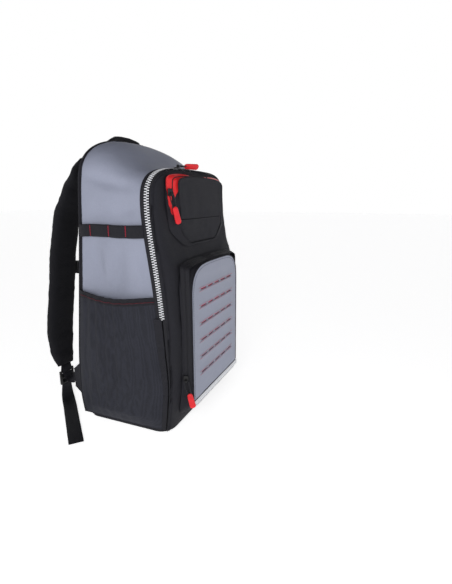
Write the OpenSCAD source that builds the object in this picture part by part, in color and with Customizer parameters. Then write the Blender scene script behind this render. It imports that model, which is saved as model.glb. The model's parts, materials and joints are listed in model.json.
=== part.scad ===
// Tackle backpack: soft shell, hinged front panel, two zipped front pockets,
// mesh side pockets, padded shoulder straps and webbing.
// Origin: centre of the base on the ground. Front is -Y, straps are +Y, +Z is up.
// "left" is the -X side.

/* [Body] */
// Width across the side panels
body_w = 297; // [285:1:310]
// Height of the crown of the top panel
body_h = 540; // [525:1:555]
// Depth of the base, front to back
base_depth = 199; // [192:1:206]
// Thickness of the side, top and gusset fabric with its foam
shell_t = 3; // [2:0.5:4]
// Thickness of the foam back panel
back_t = 5; // [4:0.5:7]
// Thickness of the padded base
base_t = 9; // [7:0.5:10]
// Height of the divider shelf above the ground
shelf_z = 228; // [215:1:235]

/* [Pockets] */
// Top of the mesh side pockets
side_pocket_top = 253; // [230:1:260]
// How far the mesh side pockets bulge
side_pocket_bulge = 15; // [12:1:20]
// Height where the cover of the upper pocket folds
upper_fold_z = 394; // [385:1:400]
// Distance of the upper pocket's face in front of the centre
upper_face_y = 107; // [105:1:110]
// Height where the cover of the lower pocket folds
lower_fold_z = 58; // [54:1:62]
// Distance of the lower pocket's face in front of the centre
lower_face_y = 135.5; // [130:0.5:140]
// Rows of webbing slits in the lower cover
slit_rows = 6; // [4:1:6]
// Slits in each row
slit_columns = 5; // [3:1:5]

/* [Straps] */
// Width of the padded shoulder straps
strap_w = 70; // [60:1:75]
// Thickness of the padded shoulder straps
strap_t = 20; // [14:1:22]
// Width of the side attachment webbing
side_web_w = 22.5; // [20:0.5:25]
// Width of the strap adjustment webbing
tail_w = 27; // [25:1:28]
// Height of the sternum strap
sternum_z = 287; // [275:1:300]

/* [Hidden] */
$fn = 48;

fabric_black = [0.16, 0.16, 0.18];
fabric_grey = [0.62, 0.64, 0.72];
mesh_grey = [0.25, 0.26, 0.30];
signal_red = [0.88, 0.20, 0.22];
reflective_white = [0.92, 0.92, 0.92];
moulded_black = [0.10, 0.10, 0.11];

half_w = body_w / 2;
half_depth = base_depth / 2;
// Height of the curved shoulder between the side panels and the crown
shoulder_drop = 75;
// Half of the gap between the two halves of the main zip
part_half = 1;
// Everything sewn to the base starts just above it
floor_z = base_t + 0.5;
face_t = 3.5;
wall_t = 2;
// Half width of the front panel's face and the pockets
front_half_w = half_w - 5;
upper_base_hw = 118;
upper_face_hw = 91;
lower_base_hw = 120;
lower_face_hw = 110;
upper_bottom_z = 352;
upper_top_z = 472;
lower_base_z = 30;
lower_lip_z = 44;
lower_top_z = 316;
lower_base_top_z = 324;

// Side view of the bag: distance from the middle, in half depths, by height over body_h
rear_curve = [[0, 0.90], [0.04, 0.97], [0.10, 1.0], [0.24, 0.965], [0.476, 0.82], [0.70, 0.685],
    [0.824, 0.635], [0.93, 0.56], [1, 0.50]];
face_curve = [[0, 1.045], [0.08, 1.10], [0.19, 1.165], [0.37, 1.185], [0.583, 1.135], [0.67, 0.98],
    [0.83, 0.905], [0.89, 0.93]];
part_curve = [[0, 0.96], [0.08, 1.015], [0.19, 1.065], [0.26, 1.035], [0.35, 1.0], [0.417, 0.98],
    [0.485, 0.945], [0.565, 0.895], [0.626, 0.845], [0.687, 0.795], [0.763, 0.755], [0.83, 0.765],
    [0.90, 0.80]];
// Half width of the zip's tape, in mm, by height over body_h: it narrows towards the base
tape_curve = [[0, 3], [0.08, 4], [0.19, 4.5], [0.26, 7], [0.35, 10], [0.42, 11], [0.5, 12]];
// Width of the tape's front half as a share of its rear half
front_tape_share = 0.65;
// Crown height over body_h, by distance from the middle in half depths
crown_curve = [[-1, 0.893], [-0.66, 0.893], [-0.37, 0.909], [-0.13, 0.941], [0.095, 0.970],
    [0.30, 0.991], [0.44, 1.0], [0.50, 0.993]];
// Strap's centre line: distance behind the middle, and sideways, by height
strap_y_curve = [[80, 181], [109, 189], [164, 190], [259, 177], [319, 168], [396, 149], [432, 135],
    [463, 113], [487, 84], [500, 67]];
strap_x_curve = [[80, 104], [260, 95], [500, 92]];
strap_w_curve = [[80, 0.62], [110, 0.86], [150, 1.0], [500, 0.95]];

function rear_y(z) = half_depth * lookup(z / body_h, rear_curve);
function face_y(z) = -half_depth * lookup(z / body_h, face_curve);
function part_y(z) = -half_depth * lookup(z / body_h, part_curve);
function tape_half(z) = lookup(z / body_h, tape_curve);
function crown(y) = body_h * lookup(y / half_depth, crown_curve);
zip_top = crown(-half_depth);

function steps(a, b, n) = [for (i = [0 : n]) a + (b - a) * i / n];
function mix(a, b, t) = a + (b - a) * t;

// Shoulder of the bag: a squared arch of half width hw from height top - drop up to top
arch_n = 4;
function arch(hw, top, drop, n = 20) = [for (a = steps(180, 0, n))
    [hw * sign(cos(a)) * pow(abs(cos(a)), 2 / arch_n), top - drop + drop * pow(abs(sin(a)), 2 / arch_n)]];
// Half width of that arch at height z
function arch_hw(hw, top, drop, z) =
    z <= top - drop ? hw : hw * pow(1 - pow(min((z - top + drop) / drop, 0.999), arch_n), 1 / arch_n);
// Inverted U: up one side, over the arch, down the other
leg_steps = 14;
function hoop(hw, top, drop, z0, n = leg_steps) = concat(
    [for (z = steps(z0, top - drop, n)) [-hw, z]],
    [for (p = arch(hw, top, drop)) if (p[1] > top - drop + 0.01) p],
    [for (z = steps(top - drop, z0, n)) [hw, z]]);

// Closed solid between an outer and an inner grid of points
module slab(out, in, closed = false) {
    n = len(out);
    m = len(out[0]);
    last = closed ? m : m - 1;
    i0 = floor((n - 1) / 2);
    j0 = floor((m - 1) / 2);
    turn = cross(out[i0 + 1][j0] - out[i0][j0], out[i0][j0 + 1] - out[i0][j0])
        * (out[i0][j0] - in[i0][j0]) > 0;
    function id(s, i, j) = (s * n + i) * m + j % m;
    function face(q, back) = back
        ? [[q[2], q[1], q[0]], [q[3], q[2], q[0]]]
        : [[q[0], q[1], q[2]], [q[0], q[2], q[3]]];
    skins = [for (s = [0, 1]) for (i = [0 : n - 2]) for (j = [0 : last - 1])
        each face([id(s, i, j), id(s, i + 1, j), id(s, i + 1, j + 1), id(s, i, j + 1)], turn == (s == 0))];
    ends = [for (i = [0, n - 1]) for (j = [0 : last - 1])
        each face([id(0, i, j), id(0, i, j + 1), id(1, i, j + 1), id(1, i, j)], turn == (i == 0))];
    sides = closed ? [] : [for (j = [0, m - 1]) for (i = [0 : n - 2])
        each face([id(0, i, j), id(0, i + 1, j), id(1, i + 1, j), id(1, i, j)], turn == (j != 0))];
    polyhedron(points = concat([for (row = out) each row], [for (row = in) each row]),
        faces = concat(skins, ends, sides), convexity = 6);
}

module mirrored(left) {
    mirror([left ? 0 : 1, 0, 0]) children();
}

// Plate with a (y, z) outline, between two distances from the middle on the left side
module side_plate(points, x_out, x_in) {
    translate([-x_out, 0, 0])
        rotate([90, 0, 90])
            linear_extrude(x_out - x_in) polygon(points);
}

// Plate with an (x, z) outline, from y_front back by t
module front_plate(points, y_front, t) {
    translate([0, y_front + t, 0])
        rotate([90, 0, 0])
            linear_extrude(t) polygon(points);
}

// Sheet that follows a side-view curve, arched at the top like the bag
module following_sheet(levels, hw, y_out, y_in, columns = 4) {
    slab([for (l = levels) [for (u = steps(-1, 1, columns)) [u * hw[l[0]], y_out[l[0]], l[1]]]],
        [for (l = levels) [for (u = steps(-1, 1, columns)) [u * hw[l[0]], y_in[l[0]], l[1]]]]);
}

module curved_sheet(zs, hw, y_out, y_in) {
    levels = [for (i = [0 : len(zs) - 1]) [i, zs[i]]];
    following_sheet(levels, hw, y_out, y_in);
}

// ---- Shell of the bag ----

top_stations = concat([for (y = steps(-0.60, 0.40, 8)) y * half_depth], [0.46 * half_depth]);
shoulder_rear_z = crown(half_depth) - shoulder_drop;
shoulder_front_z = zip_top - shoulder_drop;

module side_panel() {
    rear_zs = concat(steps(floor_z, 60, 3), steps(90, shoulder_rear_z, 8));
    front_zs = steps(shoulder_front_z, floor_z + 0.5, leg_steps);
    color(fabric_grey)
        side_plate(concat(
            [for (z = rear_zs) [rear_y(z), z]],
            [[rear_y(shoulder_rear_z) - back_t, shoulder_rear_z]],
            [for (i = [len(top_stations) - 1 : -1 : 0])
                [top_stations[i], crown(top_stations[i]) - shoulder_drop]],
            [for (z = front_zs) [part_y(z) + tape_half(z), z]]), half_w, half_w - shell_t);
}

module top_panel() {
    function section(inset, y) = arch(half_w - inset, crown(y) - inset, shoulder_drop - inset);
    function front_row(inset) = [for (p = section(inset, -half_depth))
        [p[0], part_y(p[1]) + tape_half(p[1]), p[1]]];
    function rear_row(inset) = [for (p = section(inset, half_depth)) [p[0], rear_y(p[1]) - back_t, p[1]]];
    function rows(inset) = concat([front_row(inset)],
        [for (y = top_stations) [for (p = section(inset, y)) [p[0], y, p[1]]]],
        [rear_row(inset)]);
    color(fabric_grey)
        slab(rows(0), rows(shell_t));
}

module back_panel() {
    top = crown(half_depth);
    zs = concat(steps(floor_z, shoulder_rear_z, 14), steps(shoulder_rear_z + 9, top - 1, 6));
    inner_w = half_w - shell_t - 0.1;
    color(fabric_black)
        curved_sheet(zs, [for (z = zs) arch_hw(inner_w, top, shoulder_drop, z)],
            [for (z = zs) rear_y(z)], [for (z = zs) rear_y(z) - back_t]);
}

module frame_sheet() {
    sheet_t = 1.5;
    gap = 1.6;
    zs = steps(20, 470, 14);
    color("white")
        curved_sheet(zs, [for (z = zs) 125], [for (z = zs) rear_y(z) - back_t - gap],
            [for (z = zs) rear_y(z) - back_t - gap - sheet_t]);
}

// Rounded rectangle as a list of points
function round_rect(hx, y0, y1, r, n = 8) = concat(
    [for (a = steps(0, 90, n)) [hx - r + r * cos(a), y1 - r + r * sin(a)]],
    [for (a = steps(90, 180, n)) [-hx + r + r * cos(a), y1 - r + r * sin(a)]],
    [for (a = steps(180, 270, n)) [-hx + r + r * cos(a), y0 + r + r * sin(a)]],
    [for (a = steps(270, 360, n)) [hx - r + r * cos(a), y0 + r + r * sin(a)]]);

module base_panel() {
    corner_r = 26;
    edge = 3;
    color(fabric_black) {
        translate([0, 0, edge])
            linear_extrude(base_t - edge)
                polygon(round_rect(half_w, -half_depth, rear_y(base_t), corner_r));
        linear_extrude(edge)
            polygon(round_rect(half_w - edge, -half_depth + edge, rear_y(0) - edge, corner_r - edge));
    }
}

module base_stiffener() {
    clear = 6;
    color("white")
        translate([0, 0, base_t + 0.2])
            linear_extrude(2)
                polygon(round_rect(half_w - shell_t - clear, -half_depth + 12,
                    rear_y(base_t) - back_t - clear, 20));
}

// Cushion on the back panel, between two widths and two heights
module back_pad(x0, x1, z0, z1, rise) {
    rim = 2;
    gap = 0.8;
    function dome(u, v) = rim + (rise - rim) * (1 - pow(abs(u), 4)) * (1 - pow(abs(v), 4));
    us = steps(-1, 1, 8);
    vs = steps(-1, 1, 10);
    function point(u, v, proud) = let(z = mix(z0, z1, (v + 1) / 2))
        [mix(x0, x1, (u + 1) / 2), rear_y(z) + gap + proud, z];
    color(mesh_grey)
        slab([for (v = vs) [for (u = us) point(u, v, dome(u, v))]],
            [for (v = vs) [for (u = us) point(u, v, 0)]]);
}

module back_pad_side() {
    back_pad(-126, -22, 252, 436, 12);
}

module lumbar_pad() {
    back_pad(-118, 118, 66, 232, 13);
}

module divider_shelf() {
    shelf_t = 5;
    edge = 8;
    color(mesh_grey)
        translate([0, 0, shelf_z])
            linear_extrude(shelf_t)
                polygon(round_rect(half_w - shell_t - 1.5, part_y(shelf_z) + 6,
                    rear_y(shelf_z + shelf_t) - back_t - 4.5, edge));
}

// ---- Sides ----

function pocket_y(u, z) = mix(part_y(z) + tape_half(z) + 1, rear_y(z) - 2, u);
function pocket_bulge(u, z) = side_pocket_bulge * pow(sin(180 * u), 0.55)
    * (0.80 + 0.20 * cos(360 * (z - 130) / 520)) * min(1, (z - floor_z) / 30);

module side_pocket_skin(z0, z1, rows, t, lift) {
    us = steps(0, 1, 14);
    zs = steps(z0, z1, rows);
    function point(u, z, out) = [-half_w - lift - out - pocket_bulge(u, z), pocket_y(u, z), z];
    slab([for (z = zs) [for (u = us) point(u, z, t)]], [for (z = zs) [for (u = us) point(u, z, 0)]]);
}

module side_pocket() {
    color(mesh_grey)
        side_pocket_skin(floor_z + 0.5, side_pocket_top, 10, 1.4, 0.2);
}

module side_pocket_binding() {
    binding_w = 12;
    color(fabric_black)
        side_pocket_skin(side_pocket_top + 0.1, side_pocket_top + binding_w, 1, 2.2, 0.2);
}

// The side webbing is tacked down at these distances from the middle, in half depths
side_web_z = 376;
tack_ys = [0.44, 0.04, -0.32];
side_web_lift = 5.4;
web_t = 1.6;

module side_webbing() {
    ends = concat([rear_y(side_web_z) - 1], [for (y = tack_ys) y * half_depth],
        [part_y(side_web_z) + tape_half(side_web_z) + 1]);
    tack = 1.5;
    spans = [for (i = [0 : 3]) [ends[i] - (i == 0 ? 0 : tack), ends[i + 1] + (i == 3 ? 0 : tack)]];
    path = [for (s = spans) for (t = steps(0, 1, 6))
        [mix(s[0], s[1], t), side_web_lift * pow(sin(180 * t), 0.6)]];
    function row(x) = [for (z = [-0.5, 0.5]) [for (p = path)
        [-half_w - 0.2 - x - p[1], p[0], side_web_z + z * side_web_w]]];
    color(fabric_black)
        slab(row(web_t), row(0));
}

module side_bartacks() {
    tack_w = 2;
    tack_t = 0.8;
    color(signal_red)
        for (side = [-1, 1])
            for (y = tack_ys)
                translate([side * (half_w + 0.3 + web_t + tack_t / 2), y * half_depth, side_web_z])
                    cube([tack_t, tack_w, side_web_w - 4], center = true);
}

// ---- Main zip ----

// One half of the tape: the hoop of the shell from the parting line out to the tape's edge,
// behind the line (side = 1) or in front of it (side = -1)
module zip_half(side) {
    share = side > 0 ? 1 : front_tape_share;
    function ring(inset) = hoop(half_w - inset, zip_top - inset, shoulder_drop - inset, floor_z + 0.5);
    function row(inset, edge) = [for (p = ring(inset))
        [p[0], part_y(p[1]) + side * (edge ? share * tape_half(p[1]) - 0.1 : part_half), p[1]]];
    slab([row(0, false), row(0, true)], [row(shell_t, false), row(shell_t, true)]);
}

module main_zip_tape_body() {
    color(fabric_black)
        zip_half(1);
}

module main_zip_tape_front() {
    color(fabric_black)
        zip_half(-1);
}

// ---- Front panel and pockets ----

front_top = zip_top - 4;
module front_gusset() {
    function ring(hw, top, inset) = hoop(hw - inset, top - inset, shoulder_drop - inset, floor_z + 0.5);
    function back_row(inset) = [for (p = ring(half_w, zip_top, inset))
        [p[0], part_y(p[1]) - front_tape_share * tape_half(p[1]), p[1]]];
    function front_row(inset) = [for (p = ring(front_half_w, front_top, inset))
        [p[0], face_y(p[1]) + face_t + 0.6, p[1]]];
    color(fabric_black)
        slab([back_row(0), front_row(0)], [back_row(shell_t), front_row(shell_t)]);
}

module front_panel_face() {
    zs = concat(steps(floor_z + 0.5, front_top - shoulder_drop, leg_steps),
        steps(front_top - shoulder_drop + 9, front_top - 1, 6));
    color(fabric_black)
        curved_sheet(zs, [for (z = zs) arch_hw(front_half_w, front_top, shoulder_drop, z)],
            [for (z = zs) face_y(z)], [for (z = zs) face_y(z) + face_t]);
}

// Outline of the upper pocket: arched top, bottom drawn down to a blunt point
upper_side_z = 381;
upper_arch_drop = 46;
function upper_loop(hw, bottom, top) = concat(
    [for (p = arch(hw, top, upper_arch_drop, 16)) p],
    [[hw, upper_fold_z], [hw, upper_side_z], [hw * 0.62, bottom], [0, bottom - 1], [-hw * 0.62, bottom],
        [-hw, upper_side_z], [-hw, upper_fold_z]]);

module upper_pocket_gusset() {
    base_bottom = upper_bottom_z - 4;
    base_top = upper_top_z + 2;
    function base_row(i) = [for (p = upper_loop(upper_base_hw - i, base_bottom + i, base_top - i))
        [p[0], face_y(p[1]) - 0.2, p[1]]];
    function face_row(i) = [for (p = upper_loop(upper_face_hw - i, upper_bottom_z + i, upper_top_z - 8 - i))
        [p[0], -upper_face_y + 2.6, p[1]]];
    color(fabric_black)
        slab([base_row(0), face_row(0)], [base_row(wall_t), face_row(wall_t)], closed = true);
}

// Hoop of zip tape laid on a pocket's gusset, from share a to share b of its slope
module gusset_tape(base_hoop, face_hoop, base_y, face_y0, a, b, lift, t) {
    function row(s, out) = [for (i = [0 : len(base_hoop) - 1]) let(
        p = base_hoop[i],
        q = face_hoop[i],
        n = [p[0] - q[0], p[1] - q[1]] / norm([p[0] - q[0], p[1] - q[1]]))
        [mix(p[0], q[0], s) + out * n[0], mix(base_y(p[1]), face_y0, s) - out * 0.4,
            mix(p[1], q[1], s) + out * n[1]]];
    slab([row(a, lift + t), row(b, lift + t)], [row(a, lift), row(b, lift)]);
}

module upper_zip_tape() {
    color(signal_red)
        gusset_tape(hoop(upper_base_hw, upper_top_z + 2, upper_arch_drop, upper_fold_z + 1, 3),
            hoop(upper_face_hw, upper_top_z - 8, upper_arch_drop, upper_fold_z + 1, 3),
            function(z) face_y(z), -upper_face_y + 2.6, 0.12, 0.92, 0.9, 1.2);
}

module upper_pocket_cover() {
    color(fabric_black)
        front_plate(hoop(upper_face_hw, upper_top_z - 8, upper_arch_drop, upper_fold_z + 0.5, 2),
            -upper_face_y, 2.5);
}

module upper_pocket_lower_face() {
    hw = upper_face_hw;
    color(fabric_black)
        front_plate([[hw, upper_fold_z - 0.5], [hw, upper_side_z], [hw * 0.62, upper_bottom_z],
            [-hw * 0.62, upper_bottom_z], [-hw, upper_side_z], [-hw, upper_fold_z - 0.5]],
            -upper_face_y, 2.5);
}

lower_arch_drop = 80;
lower_corner = 14;
function lower_loop(hw, bottom, top) = concat(
    [for (p = arch(hw, top, lower_arch_drop, 20)) p],
    [for (z = steps(top - lower_arch_drop - 20, bottom + lower_corner + 10, 6)) [hw, z]],
    [for (a = steps(0, 90, 4)) [hw - lower_corner * (1 - cos(a)), bottom + lower_corner * (1 - sin(a))]],
    [for (a = steps(90, 0, 4)) [-hw + lower_corner * (1 - cos(a)), bottom + lower_corner * (1 - sin(a))]],
    [for (z = steps(bottom + lower_corner + 10, top - lower_arch_drop - 20, 6)) [-hw, z]]);

module lower_pocket_gusset() {
    lip_t = 2.5;
    function base_row(i) = [for (p = lower_loop(lower_base_hw - i, lower_base_z + i, lower_base_top_z - i))
        [p[0], face_y(p[1]) - 0.2, p[1]]];
    function face_row(i) = [for (p = lower_loop(lower_face_hw - i, lower_lip_z + i, lower_top_z - i))
        [p[0], -lower_face_y + 2.6, p[1]]];
    color(fabric_black) {
        slab([base_row(0), face_row(0)], [base_row(wall_t), face_row(wall_t)], closed = true);
        front_plate([[-lower_face_hw + lower_corner, lower_lip_z + 0.5],
            [lower_face_hw - lower_corner, lower_lip_z + 0.5],
            [lower_face_hw - 1, lower_fold_z - 0.5], [-lower_face_hw + 1, lower_fold_z - 0.5]],
            -lower_face_y + lip_t, lip_t);
    }
}

module lower_zip_tape() {
    color(fabric_black)
        gusset_tape(hoop(lower_base_hw, lower_base_top_z, lower_arch_drop, lower_fold_z + 10, 6),
            hoop(lower_face_hw, lower_top_z, lower_arch_drop, lower_fold_z + 10, 6),
            function(z) face_y(z), -lower_face_y + 2.6, 0.25, 0.9, 0.5, 1.2);
}

slit_top_z = 268;
slit_pitch = 33;
slit_half_span = 78;
slit_len = 26;
slit_h = 3;

module lower_pocket_cover() {
    column = 2 * slit_half_span / slit_columns;
    color(fabric_grey)
        difference() {
            front_plate(hoop(lower_face_hw, lower_top_z, lower_arch_drop, lower_fold_z + 0.5, 4),
                -lower_face_y, 2.5);
            for (row = [0 : slit_rows - 1])
                for (i = [0 : slit_columns - 1])
                    translate([column * (i + 0.5) - slit_half_span, -lower_face_y,
                        slit_top_z - slit_pitch * row])
                        cube([slit_len, 8, slit_h], center = true);
        }
}

module slit_backing() {
    backing_t = 1;
    gap = 0.3;
    margin = 12;
    low = slit_top_z - slit_pitch * (slit_rows - 1) - margin;
    color(signal_red)
        translate([-slit_half_span - 6, -lower_face_y + 2.5 + gap, low])
            cube([2 * slit_half_span + 12, backing_t, slit_top_z + margin - low]);
}

module reflective_strip() {
    strip_t = 0.8;
    color(reflective_white)
        translate([-lower_face_hw + lower_corner, -lower_face_y - strip_t - 0.1, lower_lip_z + 1])
            cube([2 * (lower_face_hw - lower_corner), strip_t, lower_fold_z - lower_lip_z - 2.5]);
}

// ---- Zip sliders and their cord pulls ----

slider_l = 13;
slider_w = 9;
slider_base_t = 3.2;
bail_w = 3.2;
bail_r = 2.1;
// Distance of the bail's hole, the pull's pivot, above the tape
pivot_lift = 5.6;
pull_bar_r = 1.5;
strand_r = 0.8;
strand_gap = 6;
grip_w = 10;
grip_t = 5;

// Slider with its long side along +Z, its back on the plane y = 0 and its bail at z = 0
module slider_body() {
    color(moulded_black)
        difference() {
            union() {
                translate([-slider_w / 2, -slider_base_t, -3.5])
                    cube([slider_w, slider_base_t - 0.3, slider_l]);
                translate([-bail_w / 2, -pivot_lift - bail_r - 0.9, -bail_r - 0.9])
                    cube([bail_w, pivot_lift + bail_r + 0.9 - slider_base_t, 2 * bail_r + 3]);
            }
            translate([0, -pivot_lift, 0])
                rotate([0, 90, 0])
                    cylinder(r = bail_r, h = slider_w, center = true);
        }
}

// Pull hanging from the slider's bail, swayed sideways in the plane of the tape
module pull_body(cord_len, grip_len, sway) {
    color(signal_red)
        translate([0, -pivot_lift, 0]) {
            rotate([0, 90, 0])
                cylinder(r = pull_bar_r, h = 2 * strand_gap + 2, center = true);
            for (side = [-1, 1])
                translate([side * strand_gap, 0, 0])
                    rotate([0, sway, 0])
                        translate([0, 0, -cord_len - 1])
                            cylinder(r = strand_r, h = cord_len + 1);
            rotate([0, sway, 0])
                translate([-grip_w / 2 - 1, -grip_t / 2, -cord_len - grip_len])
                    cube([grip_w + 2, grip_t, grip_len]);
        }
}

main_slider_x = -46;
main_slider_lift = 0.8;
module on_main_zip() {
    translate([main_slider_x, part_y(zip_top), zip_top + main_slider_lift])
        rotate([0, -90, 0])
            rotate([0, 0, 90])
                children();
}

module main_slider() {
    on_main_zip() slider_body();
}

module main_pull() {
    on_main_zip() pull_body(14, 30, 32);
}

// The pockets' zips lean like their gussets, and their sliders sit outboard of the covers
upper_slider_z = 438;
upper_slider_at = [-110.9, -97.1];
upper_lean = 26.4;
module on_upper_zip() {
    translate([upper_slider_at[0], upper_slider_at[1], upper_slider_z])
        rotate([0, 0, -upper_lean])
            children();
}

module upper_slider() {
    on_upper_zip() slider_body();
}

module upper_pull() {
    on_upper_zip() pull_body(22, 30, -15);
}

lower_slider_z = 104;
lower_slider_at = [-118.9, -123.3];
lower_lean = 59.4;
module on_lower_zip() {
    translate([lower_slider_at[0], lower_slider_at[1], lower_slider_z])
        rotate([0, 0, -lower_lean])
            children();
}

module lower_slider() {
    on_lower_zip() slider_body();
}

module lower_pull() {
    on_lower_zip() pull_body(26, 30, -13);
}

// ---- Straps and webbing ----

strap_low_z = 80;
strap_high_z = 500;
function strap_y(z) = lookup(z, strap_y_curve);
function strap_slope(z) = (strap_y(z + 8) - strap_y(z - 8)) / 16;
function strap_normal(z) = [0, 1, -strap_slope(z)] / norm([0, 1, -strap_slope(z)]);

module shoulder_strap() {
    zs = steps(strap_low_z, strap_high_z, 28);
    us = steps(-1, 1, 6);
    function thickness(u, z) = strap_t * (1 - 0.45 * pow(abs(u), 4)) * (z > 486 ? 0.35 : z < 90 ? 0.5 : 1);
    function across(u, z) = u * strap_w / 2 * lookup(z, strap_w_curve) - lookup(z, strap_x_curve);
    function point(u, z, s) = [across(u, z), strap_y(z), z] + s * strap_normal(z) * thickness(u, z) / 2;
    color(fabric_black)
        slab([for (z = zs) [for (u = us) point(u, z, 1)]], [for (z = zs) [for (u = us) point(u, z, -1)]]);
}

module strap_anchor_band() {
    band_t = 2.4;
    zs = steps(478, 502, 3);
    color(fabric_black)
        curved_sheet(zs, [for (z = zs) 124], [for (z = zs) rear_y(z) + 0.2 + band_t],
            [for (z = zs) rear_y(z) + 0.2]);
}

// Ladder lock that hangs from the strap's end; its top bar is the pivot
lock_x = -104;
lock_y = 181;
lock_z = 66;
lock_w = 38;
lock_h = 28;
lock_t = 5;
bar_r = 2.2;
loop_gap = 0.4;

module ladder_lock() {
    rail = 4;
    bar_h = 4;
    color(moulded_black)
        translate([lock_x, lock_y, lock_z]) {
            rotate([0, 90, 0])
                cylinder(r = bar_r, h = lock_w, center = true);
            for (side = [-1, 1])
                translate([side * (lock_w - rail) / 2 - rail / 2, -lock_t / 2, -lock_h])
                    cube([rail, lock_t, lock_h]);
            for (z = [-lock_h, -lock_h / 2 - bar_h / 2])
                translate([-lock_w / 2, -lock_t / 2, z])
                    cube([lock_w, lock_t, bar_h]);
        }
}

module strap_end_loop() {
    loop_w = 26;
    loop_t = 1.6;
    color(fabric_black)
        translate([lock_x, lock_y, lock_z])
            difference() {
                union() {
                    rotate([0, 90, 0])
                        cylinder(r = bar_r + loop_gap + loop_t, h = loop_w, center = true);
                    translate([-loop_w / 2, -2, 0])
                        cube([loop_w, 4, strap_low_z - lock_z - 0.3]);
                }
                rotate([0, 90, 0])
                    cylinder(r = bar_r + loop_gap, h = loop_w + 2, center = true);
            }
}

wing_tip = [-113, 150, 57];
module strap_wing() {
    wing_t = 4;
    root_z = [24, 116];
    tip_h = 40;
    vs = steps(0, 1, 3);
    function row(s, out) = [for (v = vs)
        let(root = mix(root_z[0], root_z[1], v))
        [mix(-half_w + 14, wing_tip[0], s) + out, mix(rear_y(root) + 0.4, wing_tip[1], s),
            mix(root, wing_tip[2] + tip_h * (v - 0.5), s)]];
    color(fabric_black)
        slab([for (s = steps(0, 1, 3)) row(s, wing_t / 2)], [for (s = steps(0, 1, 3)) row(s, -wing_t / 2)]);
}

module lower_webbing() {
    from = wing_tip + [0, 1, 0];
    to = [lock_x, lock_y - 9, 52];
    half = 12.5;
    function row(s, out) = [for (v = [-1, 1])
        mix(from, to, s) + v * half * [sin(90 * s), 0, cos(90 * s)]
        + out * [cos(90 * s), 0, -sin(90 * s)]];
    color(fabric_black)
        slab([for (s = steps(0, 1, 8)) row(s, 0.8)], [for (s = steps(0, 1, 8)) row(s, -0.8)]);
}

// Free end of the adjustment webbing: down to the ground, then flat along it
tail_t = 1.8;
tail_route = [
    [-104, 184, 35], [-104.5, 184, 27], [-106, 182.5, 18], [-109, 179, 10], [-114, 173, 4.5],
    [-121, 165, 2], [-130, 154.5, 1.4], [-142, 141, 1.3], [-155, 127, 1.3], [-168, 112.5, 1.3],
    [-181, 98.5, 1.3], [-194, 84, 1.3], [-207, 70, 1.3], [-220, 55.5, 1.3], [-232, 42.5, 1.3]
];

module webbing_tail() {
    n = len(tail_route);
    function along(i) = let(d = tail_route[min(i + 1, n - 1)] - tail_route[max(i - 1, 0)]) d / norm(d);
    function across(i) = let(c = mix([1, 0, 0], [0.73, -0.68, 0], min(1, i / 5)))
        c / norm(c);
    function ring(i, s) = let(n0 = cross(across(i), along(i)), up = n0 / norm(n0) * (n0[2] < 0 ? -1 : 1))
        [for (v = [-1, 0, 1]) tail_route[i] + v * tail_w / 2 * across(i) + s * tail_t / 2 * up];
    color(fabric_black)
        slab([for (i = [0 : n - 1]) ring(i, 1)], [for (i = [0 : n - 1]) ring(i, -1)]);
}

// ---- Haul loop ----

// Pivot line where the loop is sewn, and how far the loop leans back from upright
loop_y = 62;
loop_z = 511;
loop_lean = 25;
loop_half = 78;
loop_rise = 36;
loop_strip_t = 2.4;
function loop_height(x) = loop_rise * pow(1 - pow(abs(x) / loop_half, 2.6), 0.8);
function loop_half_w(x) = 5 + 7 * (1 - pow(abs(x) / loop_half, 4));
function loop_normal(x) = let(d = loop_height(min(x + 1, loop_half)) - loop_height(max(x - 1, -loop_half)))
    [-d, 0, 2] / norm([-d, 0, 2]);

module at_loop_pivot() {
    translate([0, loop_y, loop_z])
        rotate([-loop_lean, 0, 0])
            children();
}

module haul_loop() {
    xs = [for (a = steps(180, 0, 24)) loop_half * cos(a)];
    function row(x, s) = [for (v = [-1, 1])
        [x, v * loop_half_w(x), loop_height(x)] + s * loop_strip_t / 2 * loop_normal(x)];
    color(fabric_black)
        at_loop_pivot()
            slab([for (x = xs) row(x, 1)], [for (x = xs) row(x, -1)]);
}

module haul_loop_grip() {
    xs = steps(-42, 42, 12);
    function oval(x, hy, hz) = [for (a = steps(0, 345, 23))
        [x, hy * sign(cos(a)) * pow(abs(cos(a)), 0.5), loop_height(x)]
        + hz * sign(sin(a)) * pow(abs(sin(a)), 0.5) * loop_normal(x)];
    color(fabric_black)
        at_loop_pivot()
            slab([for (x = xs) oval(x, 15, 4.2)], [for (x = xs) oval(x, 13, 2)], closed = true);
}

// ---- Sternum strap ----

sternum_y = strap_y(sternum_z);
clip_x = lookup(sternum_z, strap_x_curve) - strap_w / 2 - 1;
clip_w = 6;
sternum_web_w = 20;

module sternum_slider() {
    color(moulded_black)
        translate([-clip_x, sternum_y - 7, sternum_z - 14])
            cube([clip_w, 14, 28]);
}

module sternum_web(x0, x1, y) {
    color(fabric_black)
        translate([x0, sternum_y + y, sternum_z - sternum_web_w / 2])
            cube([x1 - x0, web_t, sternum_web_w]);
}

buckle_h = 26;
buckle_t = 8;
socket_x = [-24, 8];
tongue_t = 3.6;
tongue_h = 17;
socket_gap = 0.5;

module sternum_buckle_female() {
    wall = 8;
    color(moulded_black)
        translate([0, sternum_y, sternum_z])
            difference() {
                translate([socket_x[0], -buckle_t / 2, -buckle_h / 2])
                    cube([socket_x[1] - socket_x[0], buckle_t, buckle_h]);
                translate([socket_x[0] + wall, -tongue_t / 2 - socket_gap, -tongue_h / 2 - socket_gap])
                    cube([60, tongue_t + 2 * socket_gap, tongue_h + 2 * socket_gap]);
            }
}

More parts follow.
